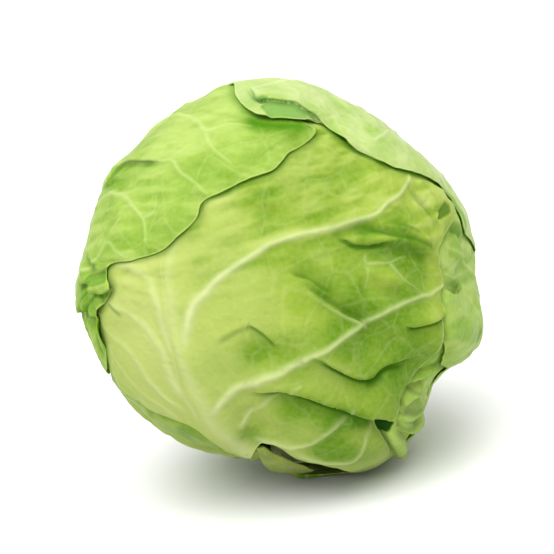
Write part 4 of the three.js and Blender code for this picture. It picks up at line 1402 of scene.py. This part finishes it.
class Stem:
    """The cut stem, with its bark, its hollowed cut face and the base of a torn-off leaf."""

    TURNS = 120
    RINGS = 46
    GROOVE = 0.35  # depth of the bark's grooves, and below how much slimmer the stem is for them
    SLIMMER = 0.2
    GROOVES_AROUND = 4.2
    GROOVE_LENGTH = 14.0
    OUTLINE = ((0.0, 52.0), (11.0, 52.0), (12.6, 61.0), (14.5, 71.0), (14.5, 81.4), (14.0, 82.5),
               (13.0, 83.0), (11.6, 82.8), (8.0, 82.1), (0.0, 81.8))
    STUB_PATH = ((45, -80), (12, -77), (-3, -68), (-11, -59))
    STUB_WIDTH = (12.0, 18.0, 13.0, 4.0)
    STUB_THICKNESS = (1.0, 2.5, 3.0, 2.0)
    STUB_STATIONS = 60
    STUB_ROUND = 28
    STUB_GAP = 0.5

    def __init__(self, wrapping: Wrapping) -> None:
        """Finds the stem's axes.

        Args:
            wrapping: The leaves that it carries.
        """
        self.wrapping, self.head = wrapping, wrapping.head
        self.axis = self.head.stem
        self.east = unit(np.cross((0.0, 0.0, 1.0), self.axis))
        self.north = np.cross(self.axis, self.east)
        self.noise = Noise(71)

    def rest(self, points: Array) -> Array:
        """Points of the head's own frame as the head rests."""
        return points @ self.head.lean.T + self.head.middle

    def bar(self) -> bpy.types.Object:
        """Makes the stem itself, with its bark's shallow grooves.

        Returns:
            The stem's object.
        """
        known = np.array(self.OUTLINE[1:-1])
        run = np.concatenate(((0,), np.cumsum(np.linalg.norm(np.diff(known, axis=0), axis=1))))
        at = np.linspace(0, run[-1], self.RINGS)
        radius, along = (np.interp(at, run, known[:, k]) for k in (0, 1))
        turn = np.linspace(0, 2 * math.pi, self.TURNS, endpoint=False)
        around = np.cos(turn)[:, None] * self.east + np.sin(turn)[:, None] * self.north
        rows = []
        for r, h in zip(radius, along):
            seat = np.column_stack((around * self.GROOVES_AROUND,
                                    np.full(self.TURNS, h / self.GROOVE_LENGTH)))
            groove = self.GROOVE * self.noise.at(seat[:, [0, 1, 3]]) * (r / self.head.size.stem_radius)
            rows.append(around * (r - self.SLIMMER + groove)[:, None] + self.axis * h)
        ends = [self.axis * self.OUTLINE[0][1], self.axis * self.OUTLINE[-1][1]]
        points = self.rest(np.vstack((*rows, *ends)))
        return mesh_object("stem_bar", points, tube_faces(self.RINGS, self.TURNS, False), {})

    def stub(self) -> bpy.types.Object:
        """Makes the base of the torn-off leaf, a tapering pad that lies on the head.

        Returns:
            The stub's object.
        """
        share = np.linspace(0, 1, self.STUB_STATIONS)
        spots = share * (len(self.STUB_PATH) - 1)
        trail = Trail(self.STUB_PATH, self.head.size.radius).points
        at = np.linspace(0, len(trail) - 1, self.STUB_STATIONS)
        middle = unit(np.stack([np.interp(at, np.arange(len(trail)), trail[:, k]) for k in range(3)], axis=1))
        side = unit(np.cross(np.gradient(middle, axis=0), middle))
        known = np.arange(len(self.STUB_PATH))
        width = np.interp(spots, known, self.STUB_WIDTH)
        thick = np.interp(spots, known, self.STUB_THICKNESS)
        lie = self.wrapping.lie(0, middle)
        low = lie.under + self.head.size.fine_blade + self.STUB_GAP
        turn = np.linspace(0, 2 * math.pi, self.STUB_ROUND, endpoint=False)
        rows = []
        for k in range(self.STUB_STATIONS):
            across = np.cos(turn) * width[k] / 2
            rise = (0.5 + 0.5 * np.sin(turn)) * thick[k]
            rows.append(middle[k] * (low[k] + rise)[:, None] + side[k] * across[:, None])
        ends = [row.mean(axis=0, keepdims=True) for row in (rows[0], rows[-1])]
        placed = self.rest(np.vstack((*rows, *ends)))
        placed[:, 2] = np.maximum(placed[:, 2], 0.0)
        faces = tube_faces(self.STUB_STATIONS, self.STUB_ROUND, True)
        return mesh_object("stem_stub", placed, faces, {})


def tone(red: int, green: int, blue: int) -> Colour:
    """The shader's colour for one that is seen, under the studio's light, as these values up to 255."""
    shares = (value / 255 for value in (red, green, blue))
    return tuple(REFLECTED * (s / 12.92 if s <= 0.04045 else ((s + 0.055) / 1.055) ** 2.4) for s in shares)


class Graph:
    """Short words for building a tree of shader nodes."""

    def __init__(self, tree: bpy.types.NodeTree) -> None:
        """Takes an empty tree."""
        self.tree = tree

    def feed(self, socket: bpy.types.NodeSocket, value: object) -> None:
        """Links a socket to another, or sets its plain value."""
        if isinstance(value, bpy.types.NodeSocket):
            self.tree.links.new(value, socket)
        elif isinstance(value, tuple) and len(value) == 3 and socket.type == "RGBA":
            socket.default_value = (*value, 1.0)
        else:
            socket.default_value = value

    def add(self, kind: str, inputs: dict[str | int, object], **settings: object) -> bpy.types.Node:
        """Adds a node.

        Args:
            kind: Its Blender type, without "ShaderNode".
            inputs: What its inputs take, by name or number.
            settings: Its own settings.

        Returns:
            The node.
        """
        node = self.tree.nodes.new("ShaderNode" + kind)
        for key, value in settings.items():
            setattr(node, key, value)
        for key, value in inputs.items():
            self.feed(node.inputs[key], value)
        return node

    def maths(self, operation: str, a: object, b: object = 0.0, clamp: bool = False) -> bpy.types.NodeSocket:
        """The result of one sum."""
        return self.add("Math", {0: a, 1: b}, operation=operation, use_clamp=clamp).outputs[0]

    def mix(self, share: object, a: object, b: object) -> bpy.types.NodeSocket:
        """A colour that goes from a to b."""
        return self.add("Mix", {0: share, 6: a, 7: b}, data_type="RGBA").outputs[2]

    def ramp(self, value: object, low: object, high: object, start: float = 0.0,
             end: float = 1.0) -> bpy.types.NodeSocket:
        """A value that goes softly from start to end while another goes from low to high."""
        inputs = {"Value": value, 1: low, 2: high, 3: start, 4: end}
        return self.add("MapRange", inputs, interpolation_type="SMOOTHSTEP").outputs[0]

    def noise(self, place: object, scale: object, detail: float = 2.0) -> bpy.types.NodeSocket:
        """Soft random values round a half."""
        return self.add("TexNoise", {"Vector": place, "Scale": scale, "Detail": detail}).outputs[0]

    def mark(self, name: str) -> bpy.types.NodeSocket:
        """A value that the mesh carries."""
        return self.add("Attribute", {}, attribute_name=name).outputs["Fac"]


class Effect:
    """A node group that several finishes share, with named inputs and outputs."""

    NAME = "effect"
    INPUTS: tuple[tuple[str, float], ...] = ()
    OUTPUTS: tuple[str, ...] = ()

    def __init__(self) -> None:
        """Builds the group once."""
        self.tree = bpy.data.node_groups.new(self.NAME, "ShaderNodeTree")
        for name, value in self.INPUTS:
            socket = self.tree.interface.new_socket(name, in_out="INPUT", socket_type="NodeSocketFloat")
            socket.default_value = value
        for name in self.OUTPUTS:
            self.tree.interface.new_socket(name, in_out="OUTPUT", socket_type="NodeSocketFloat")
        self.graph = Graph(self.tree)
        self.given = self.tree.nodes.new("NodeGroupInput").outputs
        self.result = self.tree.nodes.new("NodeGroupOutput").inputs
        self.place = self.graph.add("TexCoord", {}).outputs["Object"]
        self.build()

    def build(self) -> None:
        """Adds the effect's own nodes."""

    def put(self, graph: Graph, **values: object) -> bpy.types.NodeOutputs:
        """Places the effect in a material.

        Args:
            graph: The material's graph.
            values: What its inputs take, by name.

        Returns:
            Its outputs.
        """
        node = graph.tree.nodes.new("ShaderNodeGroup")
        node.node_tree = self.tree
        for name, value in values.items():
            graph.feed(node.inputs[name], value)
        return node.outputs


class VeinWeb(Effect):
    """The net of small veins between the ribs, as a mask that is 1 on a vein."""

    NAME = "vein web"
    INPUTS = (("Cells", 60.0), ("Width", 0.06), ("Wander", 0.004))
    OUTPUTS = ("Line", "Cell")
    BEND_SCALE = 90.0
    CELL_EDGE = 0.35  # how far in from its edge a cell of the net rises

    def build(self) -> None:
        """Bends the place with noise and finds the edges between cells."""
        g = self.graph
        inputs = {"Vector": self.place, "Scale": self.BEND_SCALE, "Detail": 2.0}
        bend = g.add("TexNoise", inputs).outputs["Color"]
        middle = g.add("VectorMath", {0: bend, 1: (0.5, 0.5, 0.5)}, operation="SUBTRACT").outputs[0]
        step = g.add("VectorMath", {0: middle, 3: self.given["Wander"]}, operation="SCALE").outputs[0]
        bent = g.add("VectorMath", {0: self.place, 1: step}, operation="ADD").outputs[0]
        inputs = {"Vector": bent, "Scale": self.given["Cells"]}
        gap = g.add("TexVoronoi", inputs, feature="DISTANCE_TO_EDGE").outputs["Distance"]
        g.feed(self.result["Line"], g.ramp(gap, 0.0, self.given["Width"], 1.0, 0.0))
        g.feed(self.result["Cell"], g.ramp(gap, 0.0, self.CELL_EDGE))


class Mottle(Effect):
    """Uneven green of a leaf: broad patches and small specks, from 0 to 1."""

    NAME = "leaf mottle"
    INPUTS = (("Patches", 42.0), ("Specks", 420.0))
    OUTPUTS = ("Patch", "Speck")
    SPREAD = (0.3, 0.7)  # the values of the noise that become 0 and 1

    def build(self) -> None:
        """Spreads two sizes of noise over the range from 0 to 1."""
        g = self.graph
        patch = g.noise(self.place, self.given["Patches"], 3.0)
        speck = g.noise(self.place, self.given["Specks"], 3.0)
        g.feed(self.result["Patch"], g.ramp(patch, *self.SPREAD))
        g.feed(self.result["Speck"], g.ramp(speck, *self.SPREAD))


class WaxGrain(Effect):
    """The fine grain of a waxy skin: its height, and how dull it is, from 0 to 1."""

    NAME = "wax grain"
    INPUTS = (("Grain", 1400.0), ("Cloud", 55.0))
    OUTPUTS = ("Height", "Dull")
    RIPPLES = 260.0
    FINE_HEIGHT = 0.25
    FINE_DULL = 0.2
    SPREAD = (0.4, 0.8)  # the values of the noise that become 0 and 1

    def build(self) -> None:
        """Mixes fine noise with soft ripples."""
        g = self.graph
        fine = g.noise(self.place, self.given["Grain"], 3.0)
        broad = g.noise(self.place, self.RIPPLES, 3.0)
        g.feed(self.result["Height"], g.maths("ADD", g.maths("MULTIPLY", fine, self.FINE_HEIGHT), broad))
        cloud = g.noise(self.place, self.given["Cloud"], 4.0)
        dull = g.maths("ADD", cloud, g.maths("MULTIPLY", fine, self.FINE_DULL))
        g.feed(self.result["Dull"], g.ramp(dull, *self.SPREAD))


@dataclass(frozen=True)
class Effects:
    """The node groups that the finishes share."""

    web: VeinWeb
    mottle: Mottle
    grain: WaxGrain


DULL_BASE = 0.1  # how far below its roughness a waxy skin starts, and how much its grain adds
DULL_GRAIN = 0.2


def new_material(name: str) -> tuple[bpy.types.Material, Graph, bpy.types.Node]:
    """A new material, its graph and its shader."""
    material = bpy.data.materials.new(name)
    material.use_nodes = True
    return material, Graph(material.node_tree), material.node_tree.nodes["Principled BSDF"]


def dulled(g: Graph, roughness: float, grain: bpy.types.NodeOutputs) -> bpy.types.NodeSocket:
    """A roughness that is uneven by the grain of the skin."""
    return g.maths("ADD", roughness - DULL_BASE, g.maths("MULTIPLY", grain["Dull"], DULL_GRAIN))


@dataclass(frozen=True)
class LeafFinish:
    """The look of one leaf: its greens, its veins, its wax, and the light and shade painted on it."""

    name: str
    deep: Colour
    mid: Colour
    pale: Colour
    vein: Colour
    # turned: the darker face of turned parts, and the painted shade of folds, creases, pockets and the edges
    # of leaves over it
    turned: Colour
    # edge: partly the cut edge's own green, partly painted light, brighter than the blade so the edge in its
    # own shade still shows green
    edge: Colour = tone(152, 206, 44)
    web: float = 0.12
    web_cells: float = 62.0
    web_share: float = 2.9  # how many times more cells the small net has than the wide one
    small_net: float = 0.4
    patch_share: float = 0.6
    speck_share: float = 0.15
    pale_share: float = 0.85
    vein_share: float = 0.9
    rim_highlight: tuple[float, float, float] = (0.3, 0.9, 0.35)  # a painted highlight along the edge: where it starts and ends, and how pale it is
    cut_rim: tuple[float, float, float] = (0.02, 0.25, 1.0)  # the same for the colour of the cut edge
    roughness: float = 0.42
    shade_dull: float = 0.4
    net_height: float = 0.6
    grain_height: float = 0.7
    cell_height: float = 0.3
    bump_strength: float = 0.8
    bump_depth: float = 0.0006
    sheen: float = 0.01
    sheen_roughness: float = 0.45
    glow: float = 0.25
    glow_reach: tuple[float, float, float] = (0.7, 1.0, 0.25)
    glow_depth: float = 0.004
    gloss: float = 0.06
    bend: float = 1.3  # how strongly the wax bends light

    def build(self, effects: Effects) -> bpy.types.Material:
        """Makes the leaf's material.

        Args:
            effects: The shared node groups.

        Returns:
            The material.
        """
        material, g, shader = new_material(self.name)
        mottle = effects.mottle.put(g)
        wide = effects.web.put(g, Cells=self.web_cells)
        small = effects.web.put(g, Cells=self.web_cells * self.web_share, Width=0.05, Wander=0.002)
        grain = effects.grain.put(g)
        vein, pale, shade, margin, tint = (g.mark(key) for key in ("vein", "pale", "shade", "margin", "tint"))
        # the mark of paler and deeper patches: partly the leaf's own greens, partly painted light and shade
        pale = g.maths("ADD", pale, tint, True)
        patch = g.maths("SUBTRACT", g.maths("MULTIPLY", mottle["Patch"], self.patch_share), tint, True)
        greens = g.mix(patch, self.mid, self.deep)
        greens = g.mix(g.maths("MULTIPLY", mottle["Speck"], self.speck_share), greens, self.pale)
        leafy = g.maths("SUBTRACT", 1.0, pale, True)
        net = g.maths("ADD", wide["Line"], g.maths("MULTIPLY", small["Line"], self.small_net), True)
        net = g.maths("MULTIPLY", g.maths("MULTIPLY", net, self.web), leafy)
        colour = g.mix(g.maths("MULTIPLY", pale, self.pale_share), greens, self.pale)
        lines = g.maths("MAXIMUM", net, g.maths("MULTIPLY", vein, self.vein_share), True)
        colour = g.mix(lines, colour, self.vein)
        # painted shade: the shade mark mixes in the turned green
        colour = g.mix(shade, colour, self.turned)
        # painted highlight along the leaf's edge
        colour = g.mix(g.ramp(margin, *self.rim_highlight, 0.0), colour, self.vein)
        # the cut edge's colour, partly painted light
        colour = g.mix(g.ramp(margin, *self.cut_rim, 0.0), colour, self.edge)
        g.feed(shader.inputs["Base Color"], colour)
        dull = dulled(g, self.roughness, grain)
        dull = g.maths("ADD", dull, g.maths("MULTIPLY", shade, self.shade_dull), True)
        g.feed(shader.inputs["Roughness"], dull)
        relief = g.maths("ADD", g.maths("MULTIPLY", net, self.net_height),
                         g.maths("MULTIPLY", grain["Height"], self.grain_height))
        relief = g.maths("ADD", relief, g.maths("MULTIPLY", small["Cell"], self.cell_height))
        bump = g.add("Bump", {"Height": relief, "Strength": self.bump_strength, "Distance": self.bump_depth})
        g.feed(shader.inputs["Normal"], bump.outputs[0])
        shader.inputs["Sheen Weight"].default_value = self.sheen
        shader.inputs["Sheen Roughness"].default_value = self.sheen_roughness
        shader.inputs["Subsurface Weight"].default_value = self.glow
        shader.inputs["Subsurface Radius"].default_value = self.glow_reach
        shader.inputs["Subsurface Scale"].default_value = self.glow_depth
        shader.inputs["Specular IOR Level"].default_value = self.gloss
        shader.inputs["IOR"].default_value = self.bend
        return material


@dataclass(frozen=True)
class StemFinish:
    """The look of the stem: pale, woody, and browner in patches where it was cut."""

    name: str
    pith: Colour
    bark: Colour
    stain: Colour
    roughness: float = 0.62
    stain_share: float = 0.4
    bump_strength: float = 0.6
    bump_depth: float = 0.0008

    def build(self, effects: Effects) -> bpy.types.Material:
        """Makes the stem's material.

        Args:
            effects: The shared node groups.

        Returns:
            The material.
        """
        material, g, shader = new_material(self.name)
        mottle = effects.mottle.put(g, Patches=120.0, Specks=700.0)
        grain = effects.grain.put(g, Grain=900.0, Cloud=150.0)
        colour = g.mix(mottle["Patch"], self.pith, self.bark)
        colour = g.mix(g.maths("MULTIPLY", mottle["Speck"], self.stain_share), colour, self.stain)
        g.feed(shader.inputs["Base Color"], colour)
        g.feed(shader.inputs["Roughness"], dulled(g, self.roughness, grain))
        bump = g.add("Bump", {"Height": grain["Height"], "Strength": self.bump_strength,
                              "Distance": self.bump_depth})
        g.feed(shader.inputs["Normal"], bump.outputs[0])
        return material


@dataclass(frozen=True)
class FloorFinish:
    """The look of the plain pale floor."""

    name: str = "plain floor"
    colour: Colour = (0.75, 0.75, 0.75)
    roughness: float = 0.8
    gloss: float = 0.1

    def build(self) -> bpy.types.Material:
        """Makes the floor's material."""
        material, _, shader = new_material(self.name)
        shader.inputs["Base Color"].default_value = (*self.colour, 1.0)
        shader.inputs["Roughness"].default_value = self.roughness
        shader.inputs["Specular IOR Level"].default_value = self.gloss
        return material


FINISHES = {
    "heart": LeafFinish(
        "heart leaf", tone(150, 185, 80), tone(185, 208, 110), tone(215, 225, 150), tone(225, 235, 170),
        tone(120, 160, 60)),
    "leaf_lower_left": LeafFinish(
        "lower left leaf", tone(112, 158, 28), tone(142, 182, 50), tone(184, 206, 96),
        tone(196, 214, 120), tone(90, 140, 24)),
    # its turned green is very dark: painted shade for the hole and the creases among its lobes
    "leaf_back": LeafFinish(
        "back leaf", tone(146, 196, 60), tone(176, 214, 84), tone(206, 232, 126), tone(214, 236, 138),
        tone(34, 82, 12)),
    "leaf_right": LeafFinish(
        "right leaf", tone(140, 186, 60), tone(184, 216, 100), tone(214, 234, 136), tone(216, 236, 142),
        tone(84, 142, 30)),
    "leaf_front": LeafFinish(
        "front leaf", tone(112, 160, 26), tone(172, 201, 70), tone(214, 226, 134), tone(228, 237, 170),
        tone(66, 122, 10), web=0.1),
    "leaf_left": LeafFinish(
        "left leaf", tone(132, 176, 50), tone(172, 206, 86), tone(206, 230, 130), tone(216, 236, 148),
        tone(84, 148, 18), web=0.16),
    "leaf_crown": LeafFinish(
        "crown leaf", tone(168, 206, 92), tone(198, 224, 130), tone(226, 240, 172), tone(230, 243, 182),
        tone(128, 180, 82), web=0.1, sheen=0.04),
}


@dataclass(frozen=True)
class Lamp:
    """One soft lamp: where its light comes from, how wide it looks in degrees, and how bright it is."""

    name: str
    place: tuple[float, float, float]
    width: float
    power: float
    colour: Colour = (1.0, 1.0, 1.0)


@dataclass
class Studio:
    """The camera at the photograph's angle, the floor and the light."""

    distance: float = 1.0
    view_width: float = 0.2493
    sensor: float = 36.0
    slide_right: float = -0.0011
    slide_up: float = 0.00045
    floor_size: float = 12.0
    floor_drop: float = 0.2  # how far below the head the floor lies, in millimetres
    sky: float = 0.72
    lamps: tuple[Lamp, ...] = (
        Lamp("key light", (-0.22, -0.9, 1.35), 60.0, 3.9),
        Lamp("top light", (0.2, 0.2, 1.4), 80.0, 1.0),
    )

    def build_camera(self, head: Head) -> None:
        """Stands the camera where it sees the head's front upright.

        Args:
            head: The head as it rests.
        """
        right, back, up = (head.lean @ np.array(axis) for axis in ((1, 0, 0), (0, -1, 0), (0, 0, 1)))
        at = head.middle * METRE + back * self.distance + right * self.slide_right + up * self.slide_up
        camera = bpy.data.objects.new("camera", bpy.data.cameras.new("camera"))
        camera.data.sensor_width = self.sensor
        camera.data.lens = self.sensor * self.distance / self.view_width
        camera.matrix_world = Matrix.Translation(Vector(at)) @ Matrix(
            np.stack((right, up, back), axis=1)).to_4x4()
        bpy.context.scene.collection.objects.link(camera)
        bpy.context.scene.camera = camera

    def build_floor(self) -> None:
        """Lays the pale floor just under the head."""
        half = self.floor_size / 2 / METRE
        turns = ((-half, -half), (half, -half), (half, half), (-half, half))
        corners = np.array([(*turn, -self.floor_drop) for turn in turns])
        floor = mesh_object("floor", corners, [np.array(((0, 1, 2, 3),))], {})
        floor.data.materials.append(FloorFinish().build())

    def build_light(self) -> None:
        """Hangs the lamps and lights the air."""
        scene = bpy.context.scene
        world = bpy.data.worlds.new("pale air")
        world.use_nodes = True
        air = world.node_tree.nodes["Background"]
        air.inputs["Color"].default_value = (1, 1, 1, 1)
        air.inputs["Strength"].default_value = self.sky
        scene.world = world
        for lamp in self.lamps:
            light = bpy.data.lights.new(lamp.name, "SUN")
            light.angle, light.energy, light.color = math.radians(lamp.width), lamp.power, lamp.colour
            stand = bpy.data.objects.new(lamp.name, light)
            stand.location = lamp.place
            stand.rotation_euler = (-Vector(lamp.place)).to_track_quat("-Z", "Y").to_euler()
            scene.collection.objects.link(stand)
        scene.view_settings.view_transform = "Standard"


class Cabbage:
    """The whole dressed head."""

    def __init__(self, head: Head, effects: Effects) -> None:
        """Prepares the stack of leaves.

        Args:
            head: The shape that they are wrapped round.
            effects: The shared node groups.
        """
        self.wrapping = Wrapping(head, LEAVES)
        self.effects = effects

    def settle(self, piece: bpy.types.Object, material: bpy.types.Material) -> None:
        """Gives a piece its finish and its place in the frame.

        Args:
            piece: The piece.
            material: Its finish.
        """
        piece.data.materials.append(material)
        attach(piece, BODY)
        LOG.info("%s: %d faces", piece.name, len(piece.data.polygons))

    def dress_heart(self) -> None:
        """Gives the solid heart, whose shape is right, the finish of its inner leaves."""
        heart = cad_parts["heart"]
        heart.data.materials.clear()
        heart.data.materials.append(FINISHES["heart"].build(self.effects))
        LOG.info("heart: finished")

    def build_stem(self) -> None:
        """Makes the stem and the torn leaf's base on it."""
        stem = Stem(self.wrapping)
        finish = StemFinish("stem", tone(205, 208, 150), tone(176, 190, 110), tone(150, 140, 80))
        torn = StemFinish("torn leaf base", tone(168, 186, 66), tone(142, 164, 50), tone(112, 126, 38))
        bar = stem.bar()
        self.settle(bar, finish.build(self.effects))
        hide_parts("stem")
        self.settle(stem.stub(), torn.build(self.effects))

    def build_leaves(self) -> None:
        """Makes every wrapper leaf."""
        for index, size in enumerate(LEAVES):
            cells = size.cells
            leaf = Leaf(index, self.wrapping).build(cells)
            self.settle(leaf, FINISHES[size.name].build(self.effects))
            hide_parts(size.name)


def main() -> None:
    """Builds the studio and the cabbage, in order."""
    logging.basicConfig(level=logging.INFO, format="%(name)s: %(message)s")
    head = Head(HeadSize())
    studio = Studio()
    studio.build_camera(head)
    studio.build_floor()
    studio.build_light()
    cabbage = Cabbage(head, Effects(VeinWeb(), Mottle(), WaxGrain()))
    cabbage.dress_heart()
    cabbage.build_stem()
    cabbage.build_leaves()


if __name__ == "__main__":
    main()
